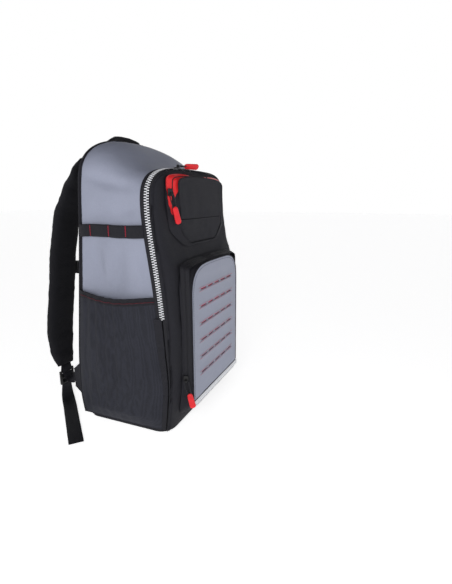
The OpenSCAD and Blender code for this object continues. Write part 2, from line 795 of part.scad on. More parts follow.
module sternum_buckle_male() {
    body_l = 18;
    tongue_x = socket_x[0] + 9;
    body_x = socket_x[1] + 0.5;
    color(moulded_black)
        translate([0, sternum_y, sternum_z]) {
            translate([tongue_x, -tongue_t / 2, -tongue_h / 2])
                cube([body_x - tongue_x, tongue_t, tongue_h]);
            translate([body_x, -3, -buckle_h / 2 + 1])
                cube([body_l, 6, buckle_h - 2]);
        }
}

module sternum_webbing_left() {
    sternum_web(-clip_x + clip_w + 0.1, socket_x[0] - 0.1, -web_t / 2);
}

module sternum_webbing_right() {
    sternum_web(14, clip_x - clip_w - 0.1, 3.5);
}

side_panel();  // side_panel_left
mirrored(false) side_panel();  // side_panel_right
top_panel();
back_panel();
base_panel();
base_stiffener();
frame_sheet();
back_pad_side();  // back_pad_left
mirrored(false) back_pad_side();  // back_pad_right
lumbar_pad();
divider_shelf();
side_pocket();  // side_pocket_left
mirrored(false) side_pocket();  // side_pocket_right
side_pocket_binding();  // side_pocket_binding_left
mirrored(false) side_pocket_binding();  // side_pocket_binding_right
side_webbing();  // side_webbing_left
mirrored(false) side_webbing();  // side_webbing_right
side_bartacks();
main_zip_tape_body();
main_zip_tape_front();
shoulder_strap();  // shoulder_strap_left
mirrored(false) shoulder_strap();  // shoulder_strap_right
strap_anchor_band();
strap_end_loop();  // strap_end_loop_left
mirrored(false) strap_end_loop();  // strap_end_loop_right
strap_wing();  // strap_wing_left
mirrored(false) strap_wing();  // strap_wing_right
lower_webbing();  // lower_webbing_left
mirrored(false) lower_webbing();  // lower_webbing_right
webbing_tail();  // webbing_tail_left
mirrored(false) webbing_tail();  // webbing_tail_right
haul_loop();
haul_loop_grip();
ladder_lock();  // ladder_lock_left
mirrored(false) ladder_lock();  // ladder_lock_right
sternum_slider();  // sternum_slider_left
mirrored(false) sternum_slider();  // sternum_slider_right
sternum_webbing_left();
sternum_webbing_right();
sternum_buckle_female();
sternum_buckle_male();
front_panel_face();
front_gusset();
upper_pocket_gusset();
upper_pocket_lower_face();
upper_zip_tape();
upper_pocket_cover();
lower_pocket_gusset();
lower_zip_tape();
lower_pocket_cover();
slit_backing();
reflective_strip();
main_slider();
main_pull();
upper_slider();
upper_pull();
lower_slider();
lower_pull();
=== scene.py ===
"""Tackle backpack: the visual model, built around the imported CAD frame.

Sizes come from the frame: the side view of the bag is read off the CAD nodes as smooth curves.
Lengths are metres. Front is -Y, the straps are +Y, "left" is -X.
"""
import json
import math

import bmesh
import bpy
import numpy as np
from mathutils import Matrix, Vector, noise


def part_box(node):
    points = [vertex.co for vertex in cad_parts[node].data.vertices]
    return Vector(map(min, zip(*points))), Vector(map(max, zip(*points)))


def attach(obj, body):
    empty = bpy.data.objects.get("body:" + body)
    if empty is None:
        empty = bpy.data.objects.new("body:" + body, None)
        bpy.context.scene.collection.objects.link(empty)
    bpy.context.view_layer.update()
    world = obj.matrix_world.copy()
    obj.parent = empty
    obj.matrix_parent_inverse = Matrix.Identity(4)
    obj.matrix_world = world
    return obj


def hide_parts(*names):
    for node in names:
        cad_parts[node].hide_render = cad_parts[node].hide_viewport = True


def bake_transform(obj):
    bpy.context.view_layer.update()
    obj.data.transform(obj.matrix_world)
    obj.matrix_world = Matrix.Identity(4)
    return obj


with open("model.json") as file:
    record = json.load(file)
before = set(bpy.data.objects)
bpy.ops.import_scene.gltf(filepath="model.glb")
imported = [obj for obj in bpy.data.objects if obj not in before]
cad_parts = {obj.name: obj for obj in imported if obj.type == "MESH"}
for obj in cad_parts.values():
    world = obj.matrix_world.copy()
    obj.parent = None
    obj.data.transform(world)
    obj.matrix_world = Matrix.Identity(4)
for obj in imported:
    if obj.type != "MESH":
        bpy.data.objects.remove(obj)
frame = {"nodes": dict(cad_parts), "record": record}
JOINT_AT = {j["name"]: np.array(j["pos_m"]) for j in frame["record"]["behaviour"]["joints"] if "pos_m" in j}
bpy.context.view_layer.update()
MM = 0.001


# ---------------------------------------------------------------- camera, light and floor

def add_camera():
    camera = bpy.data.objects.new("camera", bpy.data.cameras.new("camera"))
    bpy.context.scene.collection.objects.link(camera)
    camera.data.lens = 24.0
    camera.data.sensor_width = 36.0
    camera.location = (-0.704, -0.4435, 0.430)
    look = Vector((0.89993, 0.36890, -0.23245))
    camera.rotation_euler = look.to_track_quat("-Z", "Y").to_euler()
    bpy.context.scene.camera = camera


def add_area_light(name, place, target, size, power):
    light = bpy.data.lights.new(name, "AREA")
    light.size = size
    light.energy = power
    lamp = bpy.data.objects.new(name, light)
    bpy.context.scene.collection.objects.link(lamp)
    lamp.location = place
    lamp.rotation_euler = (Vector(target) - Vector(place)).to_track_quat("-Z", "Y").to_euler()


def add_stage():
    world = bpy.data.worlds.new("studio")
    world.use_nodes = True
    nodes, links = world.node_tree.nodes, world.node_tree.links
    height = nodes.new("ShaderNodeSeparateXYZ")
    links.new(nodes.new("ShaderNodeTexCoord").outputs["Generated"], height.inputs[0])
    sky = nodes.new("ShaderNodeValToRGB")
    sky.color_ramp.elements[0].position = 0.42
    sky.color_ramp.elements[0].color = (1.0, 1.0, 1.0, 1.0)
    sky.color_ramp.elements[1].position = 0.46
    sky.color_ramp.elements[1].color = (0.03, 0.03, 0.035, 1.0)
    links.new(height.outputs["Z"], sky.inputs["Fac"])
    links.new(sky.outputs["Color"], nodes["Background"].inputs["Color"])
    nodes["Background"].inputs["Strength"].default_value = 1.0
    bpy.context.scene.world = world
    bpy.context.scene.view_settings.view_transform = "Standard"
    add_area_light("key", (-1.15, -0.42, 0.60), (-0.1, 0, 0.40), 0.5, 5.2)
    reach = 12.0
    data = bpy.data.meshes.new("floor")
    data.from_pydata([(-reach, -reach, 0), (reach, -reach, 0), (reach, reach, 0), (-reach, reach, 0)],
                     [], [(0, 1, 2, 3)])
    floor = bpy.data.objects.new("floor", data)
    bpy.context.scene.collection.objects.link(floor)
    paper, _, _, shader = new_material("floor_paper", (0.8, 0.8, 0.8), 0.95)
    shader.inputs["Emission Color"].default_value = (1.0, 1.0, 1.0, 1.0)
    shader.inputs["Emission Strength"].default_value = 0.78
    data.materials.append(paper)


# ---------------------------------------------------------------- materials

def new_material(name, colour, roughness, specular=0.25):
    material = bpy.data.materials.new(name)
    material.use_nodes = True
    shader = material.node_tree.nodes["Principled BSDF"]
    shader.inputs["Base Color"].default_value = (*colour, 1.0)
    shader.inputs["Roughness"].default_value = roughness
    shader.inputs["Specular IOR Level"].default_value = specular
    return material, material.node_tree.nodes, material.node_tree.links, shader


def add_noise(nodes, links, vector, scale, detail=3.0, roughness=0.55):
    texture = nodes.new("ShaderNodeTexNoise")
    texture.inputs["Scale"].default_value = scale
    texture.inputs["Detail"].default_value = detail
    texture.inputs["Roughness"].default_value = roughness
    links.new(vector, texture.inputs["Vector"])
    return texture.outputs["Fac"]


def add_ramp(nodes, links, factor, low, high, dark, light):
    ramp = nodes.new("ShaderNodeValToRGB")
    ramp.color_ramp.elements[0].position = low
    ramp.color_ramp.elements[0].color = (*dark, 1.0)
    ramp.color_ramp.elements[1].position = high
    ramp.color_ramp.elements[1].color = (*light, 1.0)
    links.new(factor, ramp.inputs["Fac"])
    return ramp.outputs["Color"]


def add_math(nodes, links, operation, a, b):
    node = nodes.new("ShaderNodeMath")
    node.operation = operation
    for socket, value in zip(node.inputs, (a, b)):
        if isinstance(value, (int, float)):
            socket.default_value = value
        else:
            links.new(value, socket)
    return node.outputs[0]


def add_threads(nodes, links, vector, pitch, direction):
    """Parallel threads, one for each pitch of length along a direction of the surface."""
    wave = nodes.new("ShaderNodeTexWave")
    wave.bands_direction = direction
    wave.inputs["Scale"].default_value = math.pi / 10 / pitch
    wave.inputs["Distortion"].default_value = 0.6
    wave.inputs["Detail"].default_value = 1.0
    wave.inputs["Detail Scale"].default_value = 2.0
    links.new(vector, wave.inputs["Vector"])
    return wave.outputs["Fac"]


def add_bump(nodes, links, height, strength, distance, under=None):
    bump = nodes.new("ShaderNodeBump")
    bump.inputs["Strength"].default_value = strength
    bump.inputs["Distance"].default_value = distance
    links.new(height, bump.inputs["Height"])
    if under is not None:
        links.new(under, bump.inputs["Normal"])
    return bump.outputs["Normal"]


def shade(colour, factor):
    return tuple(min(1.0, c * factor) for c in colour)


def cloth_material(name, colour, thread=0.7 * MM, weave=0.35, rough=0.8, sheen=0.0, mottle=0.18, wrinkle=0.15,
                   ribs=None, surface="UV"):
    """Woven cloth: crossed threads, fine grain, soft mottling and a little rumpling.

    thread is the pitch of its yarns. ribs, where given, is the pitch of raised ribs across the piece.
    """
    material, nodes, links, shader = new_material(name, colour, rough)
    coordinates = nodes.new("ShaderNodeTexCoord")
    place = coordinates.outputs["Object"]
    along = coordinates.outputs[surface]
    broad = add_noise(nodes, links, place, 9.0, 4.0)
    grain = add_noise(nodes, links, place, 420.0, 2.0)
    blend = add_math(nodes, links, "ADD", add_math(nodes, links, "MULTIPLY", broad, 0.65),
                     add_math(nodes, links, "MULTIPLY", grain, 0.35))
    links.new(add_ramp(nodes, links, blend, 0.3, 0.7, shade(colour, 1 - mottle), shade(colour, 1 + mottle)),
              shader.inputs["Base Color"])
    rough_low, rough_high = max(0.05, rough - 0.08), min(1.0, rough + 0.08)
    links.new(add_ramp(nodes, links, broad, 0.3, 0.7, (rough_low,) * 3, (rough_high,) * 3),
              shader.inputs["Roughness"])
    shader.inputs["Sheen Weight"].default_value = sheen
    shader.inputs["Sheen Roughness"].default_value = 0.4
    crossed = add_math(nodes, links, "MAXIMUM", add_threads(nodes, links, along, thread, "X"),
                       add_threads(nodes, links, along, thread, "Y"))
    rumple = add_noise(nodes, links, place, 34.0, 4.0)
    normal = add_bump(nodes, links, rumple, wrinkle, 4 * MM)
    normal = add_bump(nodes, links, crossed, weave, 0.35 * MM, normal)
    if ribs is not None:
        normal = add_bump(nodes, links, add_threads(nodes, links, along, ribs, "Y"), 0.6, 0.7 * MM, normal)
    links.new(normal, shader.inputs["Normal"])
    return material


def mesh_material(name, colour, cell=1.6 * MM, rough=0.75):
    """Knitted mesh: small dark holes in a lighter net."""
    material, nodes, links, shader = new_material(name, colour, rough)
    coordinates = nodes.new("ShaderNodeTexCoord")
    holes = nodes.new("ShaderNodeTexVoronoi")
    holes.inputs["Scale"].default_value = 1 / cell
    holes.inputs["Randomness"].default_value = 0.25
    links.new(coordinates.outputs["Object"], holes.inputs["Vector"])
    broad = add_noise(nodes, links, coordinates.outputs["Object"], 14.0, 4.0)
    net = add_ramp(nodes, links, holes.outputs["Distance"], 0.18, 0.52,
                   shade(colour, 0.45), shade(colour, 1.35))
    tint = add_ramp(nodes, links, broad, 0.3, 0.7, (0.75, 0.75, 0.78), (1.0, 1.0, 1.0))
    mix = nodes.new("ShaderNodeMix")
    mix.data_type = "RGBA"
    mix.blend_type = "MULTIPLY"
    mix.inputs["Factor"].default_value = 1.0
    links.new(net, mix.inputs["A"])
    links.new(tint, mix.inputs["B"])
    links.new(mix.outputs["Result"], shader.inputs["Base Color"])
    normal = add_bump(nodes, links, holes.outputs["Distance"], 0.6, 0.5 * MM)
    links.new(normal, shader.inputs["Normal"])
    return material


def moulded_material(name, colour, rough=0.35, grain=0.12):
    """Moulded plastic or rubber: fine spark texture and slight handling marks."""
    material, nodes, links, shader = new_material(name, colour, rough)
    coordinates = nodes.new("ShaderNodeTexCoord")
    place = coordinates.outputs["Object"]
    broad = add_noise(nodes, links, place, 60.0, 3.0)
    fine = add_noise(nodes, links, place, 1500.0, 2.0)
    links.new(add_ramp(nodes, links, broad, 0.25, 0.75, shade(colour, 0.85), shade(colour, 1.15)),
              shader.inputs["Base Color"])
    links.new(add_ramp(nodes, links, broad, 0.3, 0.7, (max(0.05, rough - 0.1),) * 3, (rough + 0.12,) * 3),
              shader.inputs["Roughness"])
    links.new(add_bump(nodes, links, fine, grain, 0.15 * MM), shader.inputs["Normal"])
    return material


BLACK = (0.0135, 0.0135, 0.0185)
MATERIALS = {
    "coated_fabric_grey": cloth_material("coated_grey", (0.262, 0.280, 0.358),
                                         0.6 * MM, 0.16, 0.46, 0.0, 0.08, 0.30),
    "fabric_black": cloth_material("woven_black", BLACK, 0.9 * MM, 0.5, 0.78, 0.0, 0.30, 0.22),
    "webbing_black": cloth_material("webbing_black", shade(BLACK, 0.92), 1.3 * MM, 0.8, 0.7, 0.0, 0.22, 0.05,
                                    ribs=2.6 * MM),
    "mesh_charcoal": mesh_material("mesh_charcoal", (0.017, 0.018, 0.026)),
    "lining_grey": cloth_material("lining_grey", (0.10, 0.105, 0.12), 0.6 * MM, 0.3, 0.75, 0.05, 0.15, 0.2),
    "stiffener_board": moulded_material("board", (0.06, 0.06, 0.06), 0.5),
    "zip_tape_black": cloth_material("zip_tape", shade(BLACK, 0.8), 0.8 * MM, 0.5, 0.65, 0.03, 0.2, 0.05),
    "zip_tape_red": cloth_material("zip_tape_red", (0.66, 0.018, 0.022), 0.7 * MM, 0.15, 0.30,
                                   0.0, 0.12, 0.10),
    "thread_red": cloth_material("thread_red", (0.50, 0.016, 0.045), 0.5 * MM, 0.5, 0.6, 0.1, 0.2, 0.05),
    "moulded_black": moulded_material("moulded_black", (0.012, 0.012, 0.013)),
    "reflective_white": cloth_material("reflective", (0.66, 0.67, 0.70), 0.9 * MM, 0.25, 0.35,
                                       0.0, 0.05, 0.08),
    "pull_red": moulded_material("pull_red", (0.72, 0.020, 0.028), 0.40, 0.25),
}
TEETH = moulded_material("zip_teeth", (0.78, 0.79, 0.82), 0.3, 0.05)
CORD_BLACK = cloth_material("pull_cord", BLACK, 0.6 * MM, 0.9, 0.7, 0.1, 0.2, 0.0, surface="Object")
DARK_THREAD = cloth_material("thread_dark_red", (0.13, 0.012, 0.022), 0.5 * MM, 0.5, 0.7, 0.0, 0.2, 0.05)
PADDED_BLACK = cloth_material("strap_fabric", shade(BLACK, 0.55), 0.9 * MM, 0.5, 0.85, 0.0, 0.25, 0.25,
                              surface="Object")


# ---------------------------------------------------------------- meshes

def link_mesh(name, data):
    piece = bpy.data.objects.new(name, data)
    bpy.context.scene.collection.objects.link(piece)
    return piece


def place(piece, body, slot, *nodes, material=None):
    """Gives a finished piece its material, its body and the CAD nodes that it stands for."""
    piece.data.materials.clear()
    piece.data.materials.append(material or MATERIALS[slot])
    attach(piece, body)
    if nodes:
        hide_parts(*nodes)
    return piece


def shade_smooth(data, smooth=True):
    data.polygons.foreach_set("use_smooth", [smooth] * len(data.polygons))
    data.update()


def build_mesh(name, points, faces, uvs=None, smooth=True):
    """A mesh from points and faces, with one (u, v) in metres for each point."""
    data = bpy.data.meshes.new(name)
    data.from_pydata([tuple(map(float, p)) for p in points], [], faces)
    if uvs is not None:
        layer = data.uv_layers.new(name="metres")
        loops = np.zeros(len(data.loops), np.int32)
        data.loops.foreach_get("vertex_index", loops)
        layer.data.foreach_set("uv", np.asarray(uvs, np.float32)[loops].ravel())
    shade_smooth(data, smooth)
    return link_mesh(name, data)


def grid_normals(points, wrap=False):
    """Unit normals of a grid of points."""
    if wrap:
        step_u = np.roll(points, -1, 0) - np.roll(points, 1, 0)
    else:
        step_u = np.gradient(points, axis=0)
    step_v = np.gradient(points, axis=1)
    normals = np.cross(step_u, step_v)
    return normals / np.maximum(np.linalg.norm(normals, axis=2, keepdims=True), 1e-12)


def grid_lengths(points):
    """(u, v) of every point: the length run along each direction of the grid."""
    run = np.zeros(points.shape[:2] + (2,))
    run[1:, :, 0] = np.cumsum(np.linalg.norm(np.diff(points, axis=0), axis=2), axis=0)
    run[:, 1:, 1] = np.cumsum(np.linalg.norm(np.diff(points, axis=1), axis=2), axis=1)
    return run


def sheet_mesh(name, points, thick, outward, wrap=False):
    """A closed sheet: the grid is its outer face, and it is thick inwards from there.

    outward is a point that the outer face looks towards, from the grid's middle.
    """
    nu, nv = points.shape[:2]
    normals = grid_normals(points, wrap)
    middle = points[nu // 2, nv // 2]
    facing = np.dot(normals[nu // 2, nv // 2], np.asarray(outward) - middle) > 0
    if not facing:
        normals = -normals
    both = np.concatenate([points.reshape(-1, 3), (points - thick * normals).reshape(-1, 3)])
    run = grid_lengths(points).reshape(-1, 2)
    count = nu * nv
    faces = []

    def add(a, b, c, d, turned):
        faces.append((d, c, b, a) if turned else (a, b, c, d))

    span = nu if wrap else nu - 1
    for i in range(span):
        k = (i + 1) % nu
        for j in range(nv - 1):
            a, b, c, d = i * nv + j, k * nv + j, k * nv + j + 1, i * nv + j + 1
            add(a, b, c, d, not facing)
            add(a + count, b + count, c + count, d + count, facing)
        for j, turned in ((0, facing), (nv - 1, not facing)):
            a, b = i * nv + j, k * nv + j
            add(a, b, b + count, a + count, not turned)
    if not wrap:
        for i, turned in ((0, not facing), (nu - 1, facing)):
            for j in range(nv - 1):
                a, b = i * nv + j, i * nv + j + 1
                add(a, b, b + count, a + count, not turned)
    return build_mesh(name, both, faces, np.concatenate([run, run]))


def sweep_frames(route, across=None, closed=False):
    """Tangent, across and up directions at each point of a route."""
    route = np.asarray(route, float)
    tangent = (np.roll(route, -1, 0) - np.roll(route, 1, 0)) if closed else np.gradient(route, axis=0)
    tangent /= np.linalg.norm(tangent, axis=1, keepdims=True)
    if across is None:
        side = np.cross(tangent[0], (0, 0, 1) if abs(tangent[0][2]) < 0.9 else (0, 1, 0))
        sides = []
        for t in tangent:
            side = side - t * np.dot(side, t)
            side /= np.linalg.norm(side)
            sides.append(side.copy())
        across = np.array(sides)
    else:
        across = np.broadcast_to(np.asarray(across, float), route.shape).copy()
        across -= tangent * np.sum(across * tangent, 1, keepdims=True)
        across /= np.linalg.norm(across, axis=1, keepdims=True)
    return route, tangent, across, np.cross(across, tangent)


def sweep(name, route, outline, across=None, closed=False, scale=None):
    """A closed outline of (across, up) points carried along a route, with capped ends."""
    route, _, sides, ups = sweep_frames(route, across, closed)
    outline = np.asarray(outline, float)
    n, m = len(route), len(outline)
    size = np.ones(n) if scale is None else np.asarray(scale, float)
    points = (route[:, None] + size[:, None, None] * (outline[None, :, :1] * sides[:, None]
              + outline[None, :, 1:] * ups[:, None])).reshape(-1, 3)
    length = np.concatenate([[0], np.cumsum(np.linalg.norm(np.diff(route, axis=0), axis=1))])
    around = np.concatenate([[0], np.cumsum(np.linalg.norm(np.diff(outline, axis=0), axis=1))])
    uvs = np.array([(around[j], length[i]) for i in range(n) for j in range(m)])
    faces = []
    for i in range(n if closed else n - 1):
        k = (i + 1) % n
        faces += [(i * m + j, i * m + (j + 1) % m, k * m + (j + 1) % m, k * m + j) for j in range(m)]
    if not closed:
        faces.append(tuple(range(m - 1, -1, -1)))
        faces.append(tuple((n - 1) * m + j for j in range(m)))
    piece = build_mesh(name, points, faces, uvs)
    outward_faces(piece)
    return piece


def outward_faces(piece):
    work = bmesh.new()
    work.from_mesh(piece.data)
    bmesh.ops.recalc_face_normals(work, faces=work.faces)
    work.to_mesh(piece.data)
    work.free()


def round_outline(radius, sides=10):
    turns = np.linspace(0, 2 * math.pi, sides, endpoint=False)
    return [(radius * math.cos(a), radius * math.sin(a)) for a in turns]


def strap_outline(width, thick, crown=0.0):
    """Cross-section of webbing: flat with rounded edges, perhaps crowned in the middle."""
    half, up = width / 2, thick / 2
    xs = np.array([-1, -0.94, -0.6, 0, 0.6, 0.94, 1])
    top = np.array([0, 1, 1, 1, 1, 1, 0]) * up + crown * (1 - xs ** 2)
    upper = [(x * half, y) for x, y in zip(xs, top)]
    lower = [(x * half, -up) for x in xs[-2:0:-1]]
    return upper + lower


def tube(name, route, radius, closed=False, sides=10):
    return sweep(name, route, round_outline(radius, sides), closed=closed)


def ribbon(name, route, across, width, thick, crown=0.0, scale=None):
    return sweep(name, route, strap_outline(width, thick, crown), across, scale=scale)


def smooth_route(points, count):
    """A smooth curve through a few points (Catmull-Rom), resampled evenly."""
    p = np.asarray(points, float)
    p = np.vstack([2 * p[0] - p[1], p, 2 * p[-1] - p[-2]])
    fine = []
    for i in range(1, len(p) - 2):
        for t in np.linspace(0, 1, 12, endpoint=False):
            a, b, c, d = p[i - 1], p[i], p[i + 1], p[i + 2]
            fine.append(0.5 * (2 * b + (c - a) * t + (2 * a - 5 * b + 4 * c - d) * t ** 2
                               + (3 * b - a - 3 * c + d) * t ** 3))
    fine = np.array(fine + [p[-2]])
    run = np.concatenate([[0], np.cumsum(np.linalg.norm(np.diff(fine, axis=0), axis=1))])
    even = np.linspace(0, run[-1], count)
    return np.stack([np.interp(even, run, fine[:, k]) for k in range(3)], 1)


def rounded_block(name, size, bevel, segments=3):
    """A block with rounded edges, centred on the origin."""
    work = bmesh.new()
    bmesh.ops.create_cube(work, size=1.0)
    bmesh.ops.scale(work, vec=size, verts=work.verts)
    bmesh.ops.bevel(work, geom=work.edges[:], offset=bevel, segments=segments, profile=0.5, affect="EDGES")
    data = bpy.data.meshes.new(name)
    work.to_mesh(data)
    work.free()
    shade_smooth(data)
    return link_mesh(name, data)


def copies(name, template, places):
    """One mesh of many copies of a template object, which is then removed."""
    base = np.array([v.co for v in template.data.vertices])
    polygons = [tuple(p.vertices) for p in template.data.polygons]
    points, faces = [], []
    for matrix in places:
        m = np.array(matrix)
        start = len(points)
        points += list(base @ m[:3, :3].T + m[:3, 3])
        faces += [tuple(v + start for v in f) for f in polygons]
    bpy.data.objects.remove(template)
    return build_mesh(name, points, faces)


def axes_matrix(origin, x, y, z):
    matrix = Matrix.Identity(4)
    for column, axis in enumerate((x, y, z, origin)):
        for row in range(3):
            matrix[row][column] = float(axis[row])
    return matrix


def join(name, pieces):
    """Joins mesh objects that share one material slot into one piece."""
    work = bmesh.new()
    for piece in pieces:
        piece.data.transform(piece.matrix_world)
        work.from_mesh(piece.data)
        bpy.data.objects.remove(piece)
    data = bpy.data.meshes.new(name)
    work.to_mesh(data)
    work.free()
    return link_mesh(name, data)


def mirrored(piece, name):
    """A copy of a piece on the other side of the bag."""
    data = piece.data.copy()
    data.transform(Matrix.Diagonal((-1, 1, 1, 1)))
    data.flip_normals()
    return link_mesh(name, data)


def stitch_rows(name, rows, pitch=4.2 * MM, gap=0.35, radius=0.38 * MM):
    """Rows of lock stitches: short rounded dashes along each route. A row is (route, up direction)."""
    pieces = []
    for route, up in rows:
        route = np.asarray(route, float)
        run = np.concatenate([[0], np.cumsum(np.linalg.norm(np.diff(route, axis=0), axis=1))])
        count = max(1, int(run[-1] / pitch))
        for i in range(count):
            ends = (i + gap / 2, i + 1 - gap / 2)
            a, b = (np.array([np.interp(e * run[-1] / count, run, route[:, k]) for k in range(3)])
                    for e in ends)
            x = (b - a) / np.linalg.norm(b - a)
            y = np.cross(up, x)
            y /= max(np.linalg.norm(y), 1e-9)
            z = np.cross(x, y)
            half = np.linalg.norm(b - a) / 2
            pieces.append(axes_matrix((a + b) / 2, x * half, y * radius, z * radius))
    bead = rounded_block(name + "_bead", (2, 2, 2), 0.55, 1)
    return copies(name, bead, pieces)


# ---------------------------------------------------------------- side view of the bag, read off the CAD

def node_points(node):
    piece = frame["nodes"][node]
    return np.array([piece.matrix_world @ v.co for v in piece.data.vertices])


def curve_of(points, along, value, pick, soften=0.012):
    """Smooth function value(along) through the extreme value at each station of some points."""
    stations = {}
    for p in points:
        key = round(float(p[along]) / 0.0005)
        stations.setdefault(key, []).append(float(p[value]))
    keys = sorted(stations)
    xs = np.array(keys) * 0.0005
    ys = np.array([pick(stations[k]) for k in keys])
    fine = np.linspace(xs[0], xs[-1], 400)
    raw = np.interp(fine, xs, ys)
    step = fine[1] - fine[0]
    reach = int(3 * soften / step) + 1
    kernel = np.exp(-0.5 * (np.arange(-reach, reach + 1) * step / soften) ** 2)
    padded = np.concatenate([2 * raw[0] - raw[reach:0:-1], raw, 2 * raw[-1] - raw[-2:-reach - 2:-1]])
    smooth = np.convolve(padded, kernel / kernel.sum(), "valid")
    return lambda x: np.interp(x, fine, smooth)


def outer_points(node, low=0.0):
    """Points of a hoop-shaped node that lie on its outer face."""
    points = node_points(node)
    half = np.abs(points[:, 0]).max()
    drop_line = points[:, 2].max() - SHOULDER
    keep = (np.abs(points[:, 0]) > half - 0.4 * MM) | ((points[:, 2] > drop_line) & (points[:, 2] > low))
    return points[keep]


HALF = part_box("side_panel_left")[0][0] * -1
ZIP_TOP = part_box("main_zip_tape_body")[1][2]
BASE_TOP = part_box("base_panel")[1][2]
SHOULDER = ZIP_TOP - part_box("top_panel")[0][2]
rear = curve_of(node_points("back_panel"), 2, 1, max)
part = curve_of(outer_points("main_zip_tape_body"), 2, 1, min, 0.010)
tape_rear = curve_of(outer_points("main_zip_tape_body"), 2, 1, max, 0.010)
tape_front = curve_of(outer_points("main_zip_tape_front"), 2, 1, min, 0.010)
face = curve_of(node_points("front_panel_face"), 2, 1, min)
crown_points = node_points("top_panel")
crown = curve_of(crown_points[np.abs(crown_points[:, 0]) < 0.03], 1, 2, max, 0.008)
PART_GAP = 1.0 * MM
ARCH_POWER = 4
REAR_POWER = 2.5


def zip_line(z):
    """Distance along Y of the parting line between the two halves of the main zip."""
    return part(z) - PART_GAP


def arch_shape(half, drop, count, power=ARCH_POWER):
    """Squared arch from one shoulder over to the other, evenly spaced. A lower power is rounder."""
    a = np.linspace(math.pi, 0, 2000)
    x = half * np.sign(np.cos(a)) * np.abs(np.cos(a)) ** (2 / power)
    z = drop * np.abs(np.sin(a)) ** (2 / power)
    run = np.concatenate([[0], np.cumsum(np.hypot(np.diff(x), np.diff(z)))])
    even = np.linspace(0, run[-1], count)
    return np.interp(even, run, x), np.interp(even, run, z)


class Hoop:
    """Inverted U across the bag: legs, then a squared arch. Points are numbered from the left foot."""

    def __init__(self, half, drop, legs, arch, power=ARCH_POWER):
        self.drop = drop
        self.arch_x, self.arch_z = arch_shape(half, drop, arch, power)
        rise = np.linspace(0, 1, legs, endpoint=False)
        self.leg = np.concatenate([rise, np.ones(arch), rise[::-1]])
        self.x = np.concatenate([np.full(legs, -half), self.arch_x, np.full(legs, half)])
        self.over = np.concatenate([np.zeros(legs), self.arch_z, np.zeros(legs)])
        self.count = len(self.x)

    def z(self, top, foot):
        return foot + self.leg * (top - self.drop - foot) + self.over


# ---------------------------------------------------------------- soft relief

def bump_at(a, b, a0, b0, spread_a, spread_b, turn=0.0):
    """A soft mound at (a0, b0), longer one way than the other, turned by an angle in degrees."""
    c, s = math.cos(math.radians(turn)), math.sin(math.radians(turn))
    u = (a - a0) * c + (b - b0) * s
    v = -(a - a0) * s + (b - b0) * c
    return np.exp(-0.5 * ((u / spread_a) ** 2 + (v / spread_b) ** 2))


def rumple(points, scale, seed, stretch=(1, 1, 1)):
    """Smooth noise at each point, about -1 to 1."""
    flat = (points * np.asarray(stretch)).reshape(-1, 3) * scale + seed
    values = np.array([noise.fractal(Vector(p), 1.0, 2.0, 3) for p in flat])
    return values.reshape(points.shape[:-1])


def side_relief(y, z, side):
    """Outward relief of a side panel in metres: slack cloth between its seams and its webbing."""
    mirror_shift = 0.0 if side < 0 else 0.021
    y = y + mirror_shift
    out = -6.5 * bump_at(y, z, 0.034, 0.312, 0.011, 0.030, -16)
    out += -5.0 * bump_at(y, z, -0.006, 0.300, 0.012, 0.034, 14)
    out += 3.6 * bump_at(y, z, 0.014, 0.318, 0.009, 0.036, 6)
    out += -6.0 * bump_at(y, z, -0.060, 0.292, 0.010, 0.030, -24)
    out += 3.4 * bump_at(y, z, -0.036, 0.318, 0.011, 0.034, -4)
    out += -3.0 * bump_at(y, z, 0.0, 0.285, 0.060, 0.022, 0)
    out += -4.2 * bump_at(y, z, 0.016, 0.404, 0.018, 0.009, 12)
    out += -3.6 * bump_at(y, z, -0.034, 0.408, 0.016, 0.008, -10)
    out += -2.6 * bump_at(y, z, 0.044, 0.402, 0.010, 0.008, 0)
    out += 2.2 * bump_at(y, z, 0.016, 0.436, 0.030, 0.014, 4)
    out += -3.2 * bump_at(y, z, 0.022, 0.462, 0.036, 0.006, 15)
    out += -2.2 * bump_at(y, z, -0.030, 0.452, 0.030, 0.006, 10)
    return out * MM


# ---------------------------------------------------------------- shell of the bag

LEGS, ARCH = 110, 90
FOOT = BASE_TOP + 0.4 * MM
bag = Hoop(HALF, SHOULDER, LEGS, ARCH)


def shell_points(shares, inset=0.0):
    """Grid over sides and top, at shares of the way from the back edge to the main zip."""
    columns = []
    for v in shares:
        section = Hoop(HALF, SHOULDER, LEGS, ARCH, ARCH_POWER - (ARCH_POWER - REAR_POWER) * (1 - v) ** 1.5)
        y = np.zeros(bag.count)
        for _ in range(40):
            top = crown(np.clip(y, -0.0995, 0.0995))
            z = section.z(top, FOOT)
            y = 0.5 * y + 0.5 * ((1 - v) * (rear(z) - inset) + v * tape_rear(z))
        columns.append(np.stack([section.x, y, z], 1))
    return np.stack(columns, 1)


